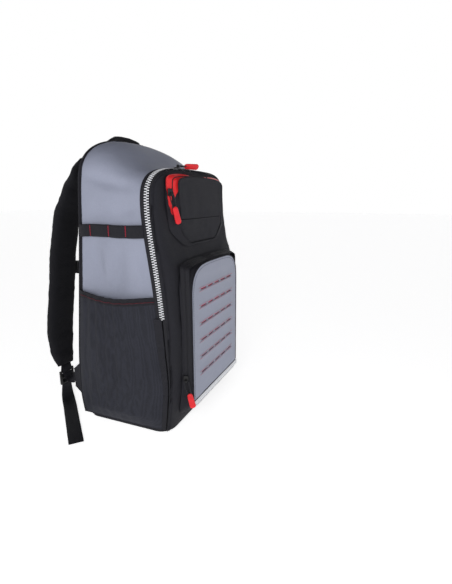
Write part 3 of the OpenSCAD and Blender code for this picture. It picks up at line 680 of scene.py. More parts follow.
def build_shell():
    shares = np.linspace(0, 1, 56)
    points = shell_points(shares)
    normals = grid_normals(points)
    if np.dot(normals[LEGS // 2, 20], (-1, 0, 0)) < 0:
        normals = -normals
    hold = np.sin(np.pi * np.clip(shares, 0, 1)) ** 0.6
    z = points[..., 2]
    low = np.clip((z - FOOT) / 0.03, 0, 1)
    sag = np.zeros(z.shape)
    for side in (-1, 1):
        on_side = np.clip(-side * -points[..., 0] / HALF, 0, 1) ** 3 * (side * points[..., 0] > 0)
        sag += on_side * side_relief(points[..., 1], z, side)
    sag += 1.1 * MM * rumple(points, 16.0, 3.1, (1, 1, 0.7)) + 0.35 * MM * rumple(points, 60.0, 9.7)
    near_seams = np.exp(-shares / 0.03) + np.exp(-(1 - shares) / 0.03)
    seam = 0.9 * MM * rumple(points, 90.0, 5.0, (1, 1, 1)) * near_seams
    web = np.exp(-0.5 * ((z - WEB_Z) / (0.6 * WEB_H)) ** 2) * (np.abs(points[..., 0]) > HALF - 1 * MM)
    sag = sag * hold * (1 - 0.85 * web) + seam - 0.8 * MM * web * hold
    points = points + normals * (np.minimum(sag * low, 2.5 * MM) - 0.3 * MM)[..., None]
    shell = sheet_mesh("shell_grey", points, 2.6 * MM, (0, 0, 9))
    place(shell, "pack", "coated_fabric_grey", "side_panel_left", "side_panel_right", "top_panel")
    build_dark_cloth(points + normals * 0.5 * MM, shares)


def build_dark_cloth(lifted, shares):
    """Black cloth behind each side pocket, and the seam tape along the shell's rear edge."""
    pocket_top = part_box("side_pocket_left")[1][2]
    for side, name, rows in ((-1, "left", lifted), (1, "right", lifted[::-1])):
        leg = rows[:LEGS]
        grid = np.empty((60, len(shares), 3))
        for j, share in enumerate(shares):
            top = pocket_top - (2.5 + 7.5 * math.sin(math.pi * share) ** 1.4) * MM
            zs = np.linspace(leg[0, j, 2], top, 60)
            for axis in range(3):
                grid[:, j, axis] = np.interp(zs, leg[:, j, 2], leg[:, j, axis])
        lower = sheet_mesh("side_lower_cloth_" + name, grid, 0.9 * MM, (side * 9, 0, 0.1))
        place(lower, "pack", "fabric_black")
    place(sheet_mesh("rear_seam_cloth", lifted[:, :3], 0.9 * MM, (0, 0, 9)), "pack", "fabric_black")


WEB_LOW, WEB_HIGH = (np.array(c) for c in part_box("side_webbing_left"))
WEB_Z = (WEB_LOW[2] + WEB_HIGH[2]) / 2
WEB_H = WEB_HIGH[2] - WEB_LOW[2]


def build_back():
    """Back panel inside its piping, a domed frame edge and the fabric between the pads."""
    zs = np.linspace(FOOT, crown(0.0995) - 1 * MM, 120)
    us = np.linspace(-1, 1, 60)
    top = crown(0.0995)
    drop_line = top - SHOULDER
    rise = np.clip((zs - drop_line) / SHOULDER, 0, 0.9995)
    half = (HALF - 1.2 * MM) * (1 - rise ** REAR_POWER) ** (1 / REAR_POWER)
    depth, height = (np.repeat(a[:, None], 60, 1) for a in (rear(zs), zs))
    points = np.stack([np.outer(half, us), depth, height], 2)
    round_off = 5 * MM * np.clip((np.abs(us) - 0.93) / 0.07, 0, 1) ** 2
    points[..., 1] -= round_off[None, :] * 0.7
    points[..., 1] -= 0.5 * MM + 0.5 * MM * rumple(points, 22.0, 2.0)
    back = sheet_mesh("back_panel_cloth", points, 4 * MM, (0, 9, 0.3))
    place(back, "pack", "fabric_black", "back_panel")


def back_pad_mesh(name, node, channels):
    """Foam pad: quilted cushion with stitched channels and tight rounded edges."""
    low, high = (np.array(c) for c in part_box(node))
    zs = np.linspace(low[2], high[2], 70)
    xs = np.linspace(low[0], high[0], 60)
    u = np.linspace(-1, 1, 60)[None, :]
    v = np.linspace(-1, 1, 70)[:, None]
    thick = 12.5 * MM
    dome = (1 - np.abs(u) ** 7) ** 0.6 * (1 - np.abs(v) ** 7) ** 0.6
    for c in channels:
        dome = dome * (1 - 0.62 * np.exp(-0.5 * ((v - c) / 0.025) ** 2))
    corner = np.clip((np.abs(u) ** 6 + np.abs(v) ** 6), 0, 1)
    shrink = 1 - 0.10 * corner
    points = np.zeros((70, 60, 3))
    centre = (low + high) / 2
    points[..., 0] = centre[0] + (xs[None, :] - centre[0]) * shrink
    points[..., 2] = centre[2] + (zs[:, None] - centre[2]) * shrink
    points[..., 1] = rear(points[..., 2]) + 0.4 * MM + thick * dome
    points[..., 1] += 0.6 * MM * rumple(points, 30.0, 4.4) * dome
    pad = sheet_mesh(name, points, 0.35 * MM, (0, 9, 0.3))
    return pad


def build_base():
    """Base with rounded corners and rolled edges."""
    low, high = (np.array(c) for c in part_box("base_panel"))
    radius = 27 * MM
    outline = []
    for cx, cy, a0 in ((1, 1, 0), (-1, 1, 90), (-1, -1, 180), (1, -1, 270)):
        x = high[0] - radius if cx > 0 else low[0] + radius
        y = high[1] - radius if cy > 0 else low[1] + radius
        for a in np.linspace(a0, a0 + 90, 16):
            outline.append((x + radius * math.cos(math.radians(a)), y + radius * math.sin(math.radians(a))))
    outline = np.array(outline)
    middle = outline.mean(0)
    rings = []
    levels = [(0.80, 0.0), (0.93, 0.0), (0.972, 0.6 * MM), (0.99, 2.2 * MM), (1.0, 5 * MM), (0.995, 8 * MM),
              (0.975, high[2] - 0.3 * MM), (0.80, high[2])]
    for scale, z in levels:
        ring = middle + (outline - middle) * scale
        rings.append(np.column_stack([ring, np.full(len(ring), z)]))
    points = np.concatenate(rings)
    n = len(outline)
    faces = [tuple(range(n - 1, -1, -1)), tuple((len(levels) - 1) * n + k for k in range(n))]
    for i in range(len(levels) - 1):
        faces += [(i * n + k, i * n + (k + 1) % n, (i + 1) * n + (k + 1) % n, (i + 1) * n + k)
                  for k in range(n)]
    uvs = points[:, :2]
    base = build_mesh("base_cloth", points, faces, uvs)
    outward_faces(base)
    place(base, "pack", "fabric_black", "base_panel")


def arch_route(line, low=None, out=0.0):
    """Route of the main zip's hoop with its outward directions, y from a function of height."""
    z = bag.z(ZIP_TOP, FOOT)
    route = np.stack([bag.x, line(z), z], 1)
    tangent = np.gradient(route, axis=0)
    outward = np.cross(tangent, (0, 1, 0))
    outward /= np.linalg.norm(outward, axis=1, keepdims=True)
    if outward[5][0] > 0:
        outward = -outward
    route = route + outward * out
    keep = np.ones(len(route), bool)
    if low is not None:
        keep &= route[:, 2] > low
    return route[keep], outward[keep]


def resample(route, extra, pitch):
    """Evenly spaced points along a route, with another vector array carried along."""
    run = np.concatenate([[0], np.cumsum(np.linalg.norm(np.diff(route, axis=0), axis=1))])
    count = max(2, int(round(run[-1] / pitch)))
    even = np.linspace(0, run[-1], count)
    pick = lambda a: np.stack([np.interp(even, run, a[:, k]) for k in range(3)], 1)
    return pick(route), pick(extra)


FLAP_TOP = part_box("divider_shelf")[0][2] - 2 * MM


def hoop_band(name, near, far, lift, thick, low=None, rows=5, wave=0.0, seed=1.0):
    """Band of cloth along the hoop between two side-view curves, lifted off the shell."""
    z = bag.z(ZIP_TOP, FOOT)
    _, outward = arch_route(zip_line)
    grid = []
    for s in np.linspace(0, 1, rows):
        y = (1 - s) * near(z) + s * far(z)
        grid.append(np.stack([bag.x, y, z], 1) + outward * lift)
    grid = np.stack(grid, 1)
    if wave:
        grid += (outward * wave)[:, None] * rumple(grid, 45.0, seed)[..., None]
    if low is not None:
        keep = z > low
        grid = grid[keep]
    return sheet_mesh(name, grid, thick, (-9, 0, 0.3))


def build_main_zip():
    """Tapes, and teeth above the shelf, below which flaps hide the zip."""
    body = hoop_band("zip_tape_body", lambda z: zip_line(z) + PART_GAP, tape_rear, 0.2 * MM, 1.4 * MM,
                     wave=0.25 * MM)
    place(body, "pack", "zip_tape_black", "main_zip_tape_body")
    front = hoop_band("zip_tape_front", lambda z: zip_line(z) - PART_GAP, tape_front, 0.2 * MM, 1.4 * MM,
                      wave=0.25 * MM, seed=2.0)
    place(front, "front_panel", "zip_tape_black", "main_zip_tape_front")
    route, outward = arch_route(zip_line, low=FLAP_TOP, out=0.9 * MM)
    route, outward = resample(route, outward, 4.4 * MM)
    tangent = np.gradient(route, axis=0)
    tangent /= np.linalg.norm(tangent, axis=1, keepdims=True)
    for side, body_name in ((1, "pack"), (-1, "front_panel")):
        tooth = rounded_block("tooth", (1.9 * MM, 5.2 * MM, 2.6 * MM), 0.6 * MM, 2)
        places = []
        for i in range(len(route) - 1):
            shift = 0.0 if side > 0 else 0.5
            at = route[i] * (1 - shift) + route[i + 1] * shift
            across = np.cross(outward[i], tangent[i])
            across *= np.sign(across[1] * side) or 1
            centre = at + across * 2.3 * MM
            places.append(axes_matrix(centre, tangent[i], np.cross(outward[i], tangent[i]), outward[i]))
        teeth = copies("zip_teeth_" + body_name, tooth, places)
        place(teeth, body_name, "moulded_black", material=TEETH)


def build_foot_binding():
    """Black binding where the sides meet the base."""
    for side, name in ((-1, "left"), (1, "right")):
        z = FOOT + 5 * MM
        ys = np.linspace(tape_rear(z), rear(z) - 1 * MM, 60)
        route = np.stack([np.full(60, side * (HALF + 0.5 * MM)), ys, np.full(60, z)], 1)
        band = ribbon("foot_binding_" + name, route, (0, 0, 1), 11 * MM, 1.2 * MM)
        place(band, "pack", "webbing_black")


def build_flaps():
    """Storm flaps over the lower part of the zip, stitched down with bar tacks."""
    for side, name in ((-1, "left"), (1, "right")):
        zs = np.linspace(FOOT + 1 * MM, FLAP_TOP + 1 * MM, 90)
        width = np.clip(0.5 + 0.5 * (zs / FLAP_TOP), 0, 1)
        grid = []
        for s in np.linspace(0, 1, 10):
            y = (1 - s) * (tape_rear(zs) + 4.5 * MM) + s * (zip_line(zs) + 1.2 * MM)
            ridge = 1.3 * MM * math.sin(math.pi * s) ** 0.7
            x = side * (HALF + 2.6 * MM + ridge + 3.6 * MM * (1 - s) ** 2)
            grid.append(np.stack([np.full(len(zs), x), y, zs], 1))
        grid = np.stack(grid, 1)
        grid[..., 0] += side * (0.9 * MM * rumple(grid, 55.0, 7.0 + side) * width[:, None])
        for z0 in (0.085, 0.125, 0.176):
            grid[..., 0] -= side * 1.1 * MM * np.exp(-0.5 * ((grid[..., 2] - z0) / 0.0025) ** 2)
        flap = sheet_mesh("storm_flap_" + name, grid, 0.7 * MM, (side * 9, 0, 0.1))
        place(flap, "pack", "fabric_black")


# ---------------------------------------------------------------- front panel



def build_front():
    """One soft shell from the zip round the corners and over the face."""
    side_count = 100
    bottom = 60
    rings = []
    corner = 21 * MM

    def ring(half, top, drop, foot):
        shape = Hoop(half, drop, side_count, 80)
        z = shape.z(top, foot)
        x = shape.x
        xb = np.linspace(half, -half, bottom + 2)[1:-1]
        return np.concatenate([x, xb]), np.concatenate([z, np.full(bottom, foot)])

    foot = FOOT + 0.2 * MM
    depth = lambda z: face(z) - tape_front(z)
    for t in np.linspace(0, 1, 14):
        inset = 1.5 * MM + 2.5 * MM * t
        x, z = ring(HALF - inset, ZIP_TOP - inset * 0.7, SHOULDER, foot)
        puff = 1.2 * MM * math.sin(math.pi * t)
        y = tape_front(z) + t * np.minimum(depth(z) + corner * 0.8, 0)
        scale = 1 + puff / HALF
        rings.append((x * scale, y, z))
    for a in np.linspace(8, 90, 12):
        s, c = math.sin(math.radians(a)), math.cos(math.radians(a))
        inset = 4 * MM + corner * (1 - c)
        x, z = ring(HALF - inset, ZIP_TOP - 2.8 * MM - corner * (1 - c), SHOULDER, foot)
        start = tape_front(z) + np.minimum(depth(z) + corner * 0.8, 0)
        y = start + (face(z) - start) * s
        rings.append((x, y, z))
    x1, _, z1 = rings[-1]
    centre_z = 0.24
    for q in np.linspace(0, 1, 40)[1:]:
        x = x1 * (1 - q)
        z = centre_z + (z1 - centre_z) * (1 - q)
        rings.append((x, face(z), z))
    points = np.stack([np.stack(r, 1) for r in rings], 1)
    normals = grid_normals(points, wrap=True)
    soft = np.linspace(0, 1, points.shape[1])
    slack = rumple(points, 14.0, 11.0) * 1.6 * MM + rumple(points, 42.0, 12.0, (1, 1, 0.6)) * 0.7 * MM
    hold = np.clip(np.abs(soft) * 12, 0, 1) * np.clip((points[..., 2] - foot) / 0.02, 0, 1)
    tilt = np.sign(normals[10, 5, 0]) * -1
    points = points + normals * tilt * (slack * hold)[..., None]
    shell = sheet_mesh("front_shell", points[:, :-1], 2.6 * MM, (-9, -1, 0.3), wrap=True)
    place(shell, "front_panel", "fabric_black", "front_panel_face", "front_gusset")


# ---------------------------------------------------------------- pockets on the front

UP_LOW, UP_HIGH = (np.array(c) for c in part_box("upper_pocket_cover"))
UP_BASE = (np.array(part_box("upper_pocket_gusset")[0]), np.array(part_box("upper_pocket_gusset")[1]))
LOW_LOW, LOW_HIGH = (np.array(c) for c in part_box("lower_pocket_cover"))
LOW_BASE = (np.array(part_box("lower_pocket_gusset")[0]), np.array(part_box("lower_pocket_gusset")[1]))
UP_DROP = 46 * MM
LOW_DROP = 80 * MM


def loop_grid(base, front, shares, bulge=0.0):
    """Rows between two loops of points, bulging outward from the middle of both."""
    grid = []
    centre = front.mean(0)
    for s in shares:
        row = (1 - s) * base + s * front
        away = row - centre
        away[:, 1] = 0
        away /= np.maximum(np.linalg.norm(away, axis=1, keepdims=True), 1e-9)
        away[:, 1] = -0.6
        grid.append(row + away * bulge * math.sin(math.pi * s))
    return np.stack(grid, 1)


def upper_loop(half, bottom, side, top, count=70):
    """Outline of the upper pocket: arched top, bottom drawn down to a blunt point."""
    shape = Hoop(half, UP_DROP, 24, count)
    z = shape.z(top, side)
    corner_x, corner_z = half * 0.62, bottom
    steps = 26
    right = smooth_route([(half, 0, side), (half * 0.93, 0, side - (side - bottom) * 0.30),
                          (corner_x, 0, corner_z), (half * 0.30, 0, corner_z - 1.5 * MM),
                          (0, 0, corner_z - 2 * MM)],
                         steps)
    left = right[::-1] * (-1, 1, 1)
    x = np.concatenate([shape.x, right[1:-1, 0], left[:-1, 0]])
    z = np.concatenate([z, right[1:-1, 2], left[:-1, 2]])
    return x, z


def build_upper_pocket():
    fold = UP_LOW[2]
    side = fold - 13 * MM
    bottom = UP_BASE[0][2] + 4 * MM
    bx, bz = upper_loop(UP_BASE[1][0] - 0.5 * MM, UP_BASE[0][2], side, UP_BASE[1][2])
    fx, fz = upper_loop(UP_HIGH[0] + 0.5 * MM, bottom, side, UP_HIGH[2])
    face_y = UP_LOW[1] + 2.6 * MM
    base = np.stack([bx, face(bz) - 0.3 * MM, bz], 1)
    front = np.stack([fx, np.full(len(fx), face_y), fz], 1)
    grid = loop_grid(base, front, np.linspace(0, 1, 14))
    grid += (rumple(grid, 50.0, 20.0) * 0.3 * MM)[..., None] * np.array([0.5, -1, 0])
    gusset = sheet_mesh("upper_gusset_cloth", grid, 1.6 * MM, (-9, -3, 0.4), wrap=True)
    # Below the fold the face is sewn to the gusset and lies a little slack
    rows = []
    low_count = 40
    for q in np.linspace(0, 1, 26):
        z = (fold - 0.8 * MM) * (1 - q) + q * (bottom + 0.5 * MM)
        share = np.clip((z - bottom) / (side - bottom), 0, 1)
        half = UP_HIGH[0] * (0.60 + 0.40 * share ** 0.8) if z < side else UP_HIGH[0]
        x = np.linspace(-half, half, low_count)
        rolled = np.clip((np.abs(x) / half - 0.94) / 0.06, 0, 1) ** 2
        y = np.full(low_count, UP_LOW[1] + 0.5 * MM) + 1.6 * MM * rolled
        rows.append(np.stack([x, y, np.full(low_count, z)], 1))
    lower = np.stack(rows, 1)
    lower[..., 1] += rumple(lower, 34.0, 22.0) * 0.8 * MM + 0.3 * MM
    face_low = sheet_mesh("upper_lower_face_cloth", lower, 1.6 * MM, (0, -9, 0.4))
    place(face_low, "front_panel", "fabric_black", "upper_pocket_lower_face")
    place(gusset, "front_panel", "fabric_black", "upper_pocket_gusset")
    # Red water-resistant tape, with the coil's seam down its middle
    legs = Hoop(1.0, UP_DROP, 24, 70)
    z_b, z_f = legs.z(UP_BASE[1][2], fold + 1 * MM), legs.z(UP_HIGH[2], fold + 1 * MM)
    b_shape, f_shape = Hoop(UP_BASE[1][0], UP_DROP, 24, 70), Hoop(UP_HIGH[0], UP_DROP, 24, 70)
    base_hoop = np.stack([b_shape.x, face(z_b) - 0.3 * MM, z_b], 1)
    face_hoop = np.stack([f_shape.x, np.full(len(z_f), face_y), z_f], 1)
    zip_rows(base_hoop, face_hoop, "upper", "zip_tape_red", 0.10, 0.94, 1.0 * MM, "upper_zip_tape")
    # Cover: a softly domed flap with a rolled edge
    cover_rows = []
    shape = Hoop(1.0, UP_DROP, 40, 70)
    for q in np.linspace(0, 1, 30):
        half = UP_HIGH[0] * (1 - q)
        top = UP_HIGH[2]
        z_out = shape.z(top, fold + 0.3 * MM)
        centre_z = fold + 0.3 * MM
        x = Hoop(UP_HIGH[0], UP_DROP, 40, 70).x * (1 - q)
        z = centre_z + (z_out - centre_z) * (1 - q)
        edge = np.clip(1 - q * 14, 0, 1)
        y = np.full(len(x), UP_LOW[1] + 0.3 * MM) + 0.7 * MM * edge ** 2
        row = np.stack([x, y, z], 1)
        if not cover_rows:
            # The hem follows the gusset's slope back over the zip, clear of its tape
            outer = Hoop(UP_BASE[1][0], UP_DROP, 40, 70)
            back_z = outer.z(UP_BASE[1][2], centre_z)
            back = np.stack([outer.x, face(back_z), back_z], 1)
            outward = np.cross(np.gradient((row + back) / 2, axis=0), row - back)
            outward /= np.linalg.norm(outward, axis=1, keepdims=True)
            if outward[3][0] > 0:
                outward = -outward
            over = (np.clip(shape.over / UP_DROP, 0, 1) ** 0.5)[:, None]
            for share, lift in ((0.20, 4.2), (0.10, 4.0), (0.03, 3.2)):
                cover_rows.append(row + over * (share * (back - row) + outward * lift * MM))
            row = row + over * outward * 1.6 * MM
        cover_rows.append(row)
    cover = np.stack(cover_rows, 1)
    hold = np.clip((cover[..., 2] - fold) / 0.01, 0, 1) * np.clip((np.arange(cover.shape[1]) - 5) / 6, 0, 1)
    cover[..., 1] += rumple(cover, 26.0, 25.0) * 0.9 * MM * hold
    flap = sheet_mesh("upper_cover_cloth", cover, 1.2 * MM, (0, -9, 0.4))
    place(flap, "upper_cover", "fabric_black", "upper_pocket_cover")


def zip_rows(base_hoop, face_hoop, name, slot, a, b, lift, node):
    """Zip tape laid along a pocket's gusset, with a seam of coil teeth down its middle."""
    grid = []
    tangent = np.gradient((base_hoop + face_hoop) / 2, axis=0)
    across = face_hoop - base_hoop
    outward = np.cross(tangent, across)
    outward /= np.linalg.norm(outward, axis=1, keepdims=True)
    if outward[3][0] > 0:
        outward = -outward
    for s in np.linspace(a, b, 9):
        groove = -0.7 * MM * math.exp(-0.5 * ((s - (a + b) / 2) / 0.03) ** 2)
        edge = 0.5 * MM * (1 - abs(2 * (s - a) / (b - a) - 1) ** 6)
        grid.append((1 - s) * base_hoop + s * face_hoop + outward * (lift + groove + edge))
    tape = sheet_mesh(name + "_tape", np.stack(grid, 1), 0.9 * MM, (-9, -9, 0.4))
    place(tape, "front_panel", slot, node)
    middle = (a + b) / 2
    route = (1 - middle) * base_hoop + middle * face_hoop + outward * (lift + 0.2 * MM)
    coil = tube(name + "_coil", route, 0.8 * MM, sides=8)
    place(coil, "front_panel", "zip_tape_black")


def lower_loop(half, bottom, top, corner=14 * MM, count=90):
    """Outline of the lower pocket: inverted U with small rounded corners at its foot."""
    shape = Hoop(half, LOW_DROP, 50, count)
    z = shape.z(top, bottom + corner)
    angles = np.radians(np.linspace(0, 90, 10))[1:]
    right = np.stack([half - corner * (1 - np.cos(angles)), bottom + corner * (1 - np.sin(angles))], 1)
    left = right[::-1] * (-1, 1)
    middle = np.linspace(right[-1, 0], -right[-1, 0], 30)[1:-1]
    x = np.concatenate([shape.x, right[:, 0], middle, left[:, 0]])
    z = np.concatenate([z, right[:, 1], np.full(28, bottom), left[:, 1]])
    return x, z


def build_lower_pocket():
    fold = LOW_LOW[2]
    lip = 44 * MM
    face_y = LOW_LOW[1] + 2.6 * MM
    bx, bz = lower_loop(LOW_BASE[1][0] - 0.5 * MM, LOW_BASE[0][2], LOW_BASE[1][2])
    fx, fz = lower_loop(LOW_HIGH[0], lip, LOW_HIGH[2])
    base = np.stack([bx, face(bz) - 0.3 * MM, bz], 1)
    front = np.stack([fx, np.full(len(fx), face_y), fz], 1)
    grid = loop_grid(base, front, np.linspace(0, 1, 16))
    grid += (rumple(grid, 45.0, 30.0) * 0.4 * MM)[..., None] * np.array([0.3, -1, 0])
    gusset = sheet_mesh("lower_gusset_cloth", grid, 1.6 * MM, (-9, -3, 0.2), wrap=True)
    rows = []
    for q in np.linspace(0, 1, 10):
        z = lip + 0.8 * MM + q * (fold - lip - 1.2 * MM)
        half = LOW_HIGH[0] - 1.5 * MM - 12 * MM * (1 - q) ** 2
        x = np.linspace(-half, half, 60)
        rows.append(np.stack([x, np.full(60, LOW_LOW[1] + 0.6 * MM), np.full(60, z)], 1))
    lip_mesh = sheet_mesh("lower_lip", np.stack(rows, 1), 1.8 * MM, (0, -9, 0.2))
    gusset = join("lower_gusset_cloth", [gusset, lip_mesh])
    place(gusset, "front_panel", "fabric_black", "lower_pocket_gusset")
    legs = Hoop(1.0, LOW_DROP, 60, 90)
    start = fold + 10 * MM
    z_b, z_f = legs.z(LOW_BASE[1][2], start), legs.z(LOW_HIGH[2], start)
    b_shape, f_shape = Hoop(LOW_BASE[1][0], LOW_DROP, 60, 90), Hoop(LOW_HIGH[0], LOW_DROP, 60, 90)
    base_hoop = np.stack([b_shape.x, face(z_b) - 0.3 * MM, z_b], 1)
    face_hoop = np.stack([f_shape.x, np.full(len(z_f), face_y), z_f], 1)
    zip_rows(base_hoop, face_hoop, "lower", "zip_tape_black", 0.20, 0.92, 1.1 * MM, "lower_zip_tape")
    build_slit_cover(fold)
    build_reflective(lip, fold)


SLIT_TOP, SLIT_PITCH, SLIT_ROWS, SLIT_COLUMNS, SLIT_HALF = 268 * MM, 33 * MM, 6, 5, 78 * MM
SLIT_LENGTH, SLIT_HEIGHT = 26 * MM, 3 * MM


def build_slit_cover(fold):
    """Grey cover: webbing slits cut through it over a red backing, with stitched edges."""
    base_half, top = LOW_HIGH[0], LOW_HIGH[2]
    column = 2 * SLIT_HALF / SLIT_COLUMNS
    front_y = LOW_LOW[1] + 0.4 * MM

    def half_at(z):
        rise = np.clip((z - (top - LOW_DROP)) / LOW_DROP, 0, 0.9998)
        return (base_half - 0.2 * MM) * (1 - rise ** ARCH_POWER) ** (1 / ARCH_POWER)

    slit_zs = [SLIT_TOP - SLIT_PITCH * k for k in range(SLIT_ROWS)]
    x_lines = []
    for i in range(SLIT_COLUMNS):
        centre = -SLIT_HALF + column * (i + 0.5)
        for e in (-SLIT_LENGTH / 2, -SLIT_LENGTH / 2 + 1 * MM, 0, SLIT_LENGTH / 2 - 1 * MM, SLIT_LENGTH / 2):
            x_lines.append(centre + e)
    for s in (-1, 1):
        x_lines += list(s * np.linspace(0.082, 0.104, 7)) + [s * 0.108, s * 0.110]
    x_lines = np.array(sorted(x_lines))
    z_lines = []
    for z0 in slit_zs:
        z_lines += [z0 - SLIT_HEIGHT / 2, z0 - SLIT_HEIGHT / 6, z0 + SLIT_HEIGHT / 6, z0 + SLIT_HEIGHT / 2]
        z_lines += [z0 - 4.5 * MM, z0 + 4.5 * MM, z0 + 11 * MM, z0 - 11 * MM]
    z_lines += list(np.linspace(fold + 0.3 * MM, slit_zs[-1] - 14 * MM, 8))
    z_lines += list(top - (top - slit_zs[0] - 14 * MM) * (np.linspace(1, 0, 18) ** 1.6))
    z_lines = np.array(sorted(z_lines))
    across, up = np.meshgrid(x_lines, z_lines, indexing="ij")
    half = half_at(up)
    squeeze = np.minimum(half / 0.110, 1)
    points_x = across * squeeze
    edge = np.clip((np.abs(across) / 0.110 - 0.965) / 0.035, 0, 1)
    points = np.stack([points_x, np.full(across.shape, front_y), up], 2)
    points[..., 1] += 1.8 * MM * edge ** 2 + 1.4 * MM * np.clip((up - top + 3 * MM) / (3 * MM), 0, 1) ** 2
    for z0 in slit_zs:
        near = np.exp(-0.5 * ((up - z0) / (4.5 * MM)) ** 2) * (np.abs(across) < SLIT_HALF + 3 * MM)
        points[..., 1] -= 0.5 * MM * near
        between = np.exp(-0.5 * ((up - z0 - SLIT_PITCH / 2) / (6 * MM)) ** 2)
        points[..., 1] += 0.5 * MM * between
    points[..., 1] += 0.55 * MM * rumple(points, 30.0, 40.0)
    nx, nz = across.shape
    cut = np.zeros((nx - 1, nz - 1), bool)
    for i in range(SLIT_COLUMNS):
        centre = -SLIT_HALF + column * (i + 0.5)
        for z0 in slit_zs:
            reach = SLIT_LENGTH / 2 + 1e-6
            in_x = (x_lines[:-1] > centre - reach) & (x_lines[1:] < centre + reach)
            in_z = (z_lines[:-1] > z0 - SLIT_HEIGHT / 2 - 1e-6) & (z_lines[1:] < z0 + SLIT_HEIGHT / 2 + 1e-6)
            cut |= np.outer(in_x, in_z)
    cover = holed_sheet("lower_cover_cloth", points, 1.8 * MM, cut)
    place(cover, "lower_cover", "coated_fabric_grey", "lower_pocket_cover")
    low, high = (np.array(c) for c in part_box("slit_backing"))
    backing = rounded_block("slit_backing_cloth", tuple(high - low), 0.3 * MM, 1)
    backing.data.transform(Matrix.Translation(tuple((low + high) / 2)))
    place(backing, "lower_cover", "thread_red", "slit_backing")
    rows = []
    out = np.array([0, -1, 0])
    y = front_y - 0.75 * MM
    for z0 in slit_zs:
        for dz in (-3.4 * MM, 3.4 * MM):
            ends = [(s * (SLIT_HALF + 5 * MM), y, z0 + dz) for s in (-1, 1)]
            rows.append((np.array(ends), out))
    stitches = stitch_rows("cover_stitches_red", rows, pitch=3.4 * MM, radius=0.3 * MM)
    place(stitches, "lower_cover", "thread_red")
    edge_shape = Hoop(base_half - 5 * MM, LOW_DROP, 60, 80)
    z = edge_shape.z(top - 5 * MM, fold + 3 * MM)
    edge_route = np.stack([edge_shape.x, np.full(len(z), front_y - 0.55 * MM), z], 1)
    edge_stitch = stitch_rows("cover_edge_stitches", [(edge_route, out)], pitch=3.2 * MM,
                              radius=0.28 * MM)
    place(edge_stitch, "lower_cover", "fabric_black")
    band = Hoop(base_half - 0.6 * MM, LOW_DROP, 60, 80)
    z = band.z(top - 0.6 * MM, fold + 0.5 * MM)
    rim_route = np.stack([band.x, np.full(len(z), front_y + 1.0 * MM), z], 1)
    rim = tube("cover_binding", rim_route, 1.3 * MM, sides=8)
    place(rim, "lower_cover", "fabric_black")


def holed_sheet(name, points, thick, cut):
    """Closed sheet from a grid with some cells cut out. Its outer face looks along -Y."""
    nx, nz = points.shape[:2]
    count = nx * nz
    back = points + np.array([0, thick, 0])
    both = np.concatenate([points.reshape(-1, 3), back.reshape(-1, 3)])
    run = np.stack([points[..., 0], points[..., 2]], 2).reshape(-1, 2)
    ident = lambda i, j: i * nz + j
    faces = []
    solid = lambda i, j: 0 <= i < nx - 1 and 0 <= j < nz - 1 and not cut[i, j]
    for i in range(nx - 1):
        for j in range(nz - 1):
            if cut[i, j]:
                continue
            a, b, c, d = ident(i, j), ident(i + 1, j), ident(i + 1, j + 1), ident(i, j + 1)
            faces.append((a, b, c, d))
            faces.append((d + count, c + count, b + count, a + count))
            for p, q, open_side in ((a, b, not solid(i, j - 1)), (b, c, not solid(i + 1, j)),
                                    (c, d, not solid(i, j + 1)), (d, a, not solid(i - 1, j))):
                if open_side:
                    faces.append((q, p, p + count, q + count))
    piece = build_mesh(name, both, faces, np.concatenate([run, run]))
    return piece


def build_reflective(lip, fold):
    """Reflective strip along the lip, wrapping round both corners of the pocket."""
    z_mid = (lip + fold) / 2 + 0.3 * MM
    y = LOW_LOW[1] - 0.1 * MM
    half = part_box("reflective_strip")[1][0] + 8 * MM
    radius = 6 * MM
    right = [(half - radius + radius * math.sin(a), y + radius * (1 - math.cos(a)), z_mid)
             for a in np.radians(np.linspace(0, 35, 8))]
    route = [(-p[0], p[1], p[2]) for p in reversed(right)] + right
    route = smooth_route(route, 120)
    strip = ribbon("reflective_strip_cloth", route, (0, 0, 1), 11 * MM, 0.7 * MM)
    place(strip, "front_panel", "reflective_white", "reflective_strip")


# ---------------------------------------------------------------- side pockets and webbing

def side_pocket_grid(z_low, z_high, rows, lift, columns=110):
    """Rows of the left pocket's outer face: puffed in the middle, with soft upright pleats."""
    bulge = -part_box("side_pocket_left")[0][0] - HALF
    u = np.linspace(0, 1, columns)
    grid = []
    for w in np.linspace(0, 1, rows):
        z = z_low + w * (z_high - z_low)
        y = (1 - u) * (tape_rear(z) + 0.5 * MM) + u * (rear(z) - 0.8 * MM)
        puff = bulge * np.sin(math.pi * u) ** 0.62 * (0.80 + 0.17 * math.cos(2 * math.pi * (z - 0.13) / 0.52))
        puff *= min(1, (z - FOOT) / 0.025 + 0.02) ** 0.7
        fold = np.sin(2 * math.pi * 8.5 * (u + 0.05 * math.sin(9 * z)))
        sag = 1.3 * MM * fold * np.sin(math.pi * u) ** 0.5 * (0.25 + 0.75 * (z / 0.25)) - 0.6 * MM
        x = -(HALF + lift + puff * 0.93 + sag)
        grid.append(np.stack([x, y, np.full(columns, z)], 1))
    return np.stack(grid, 1)


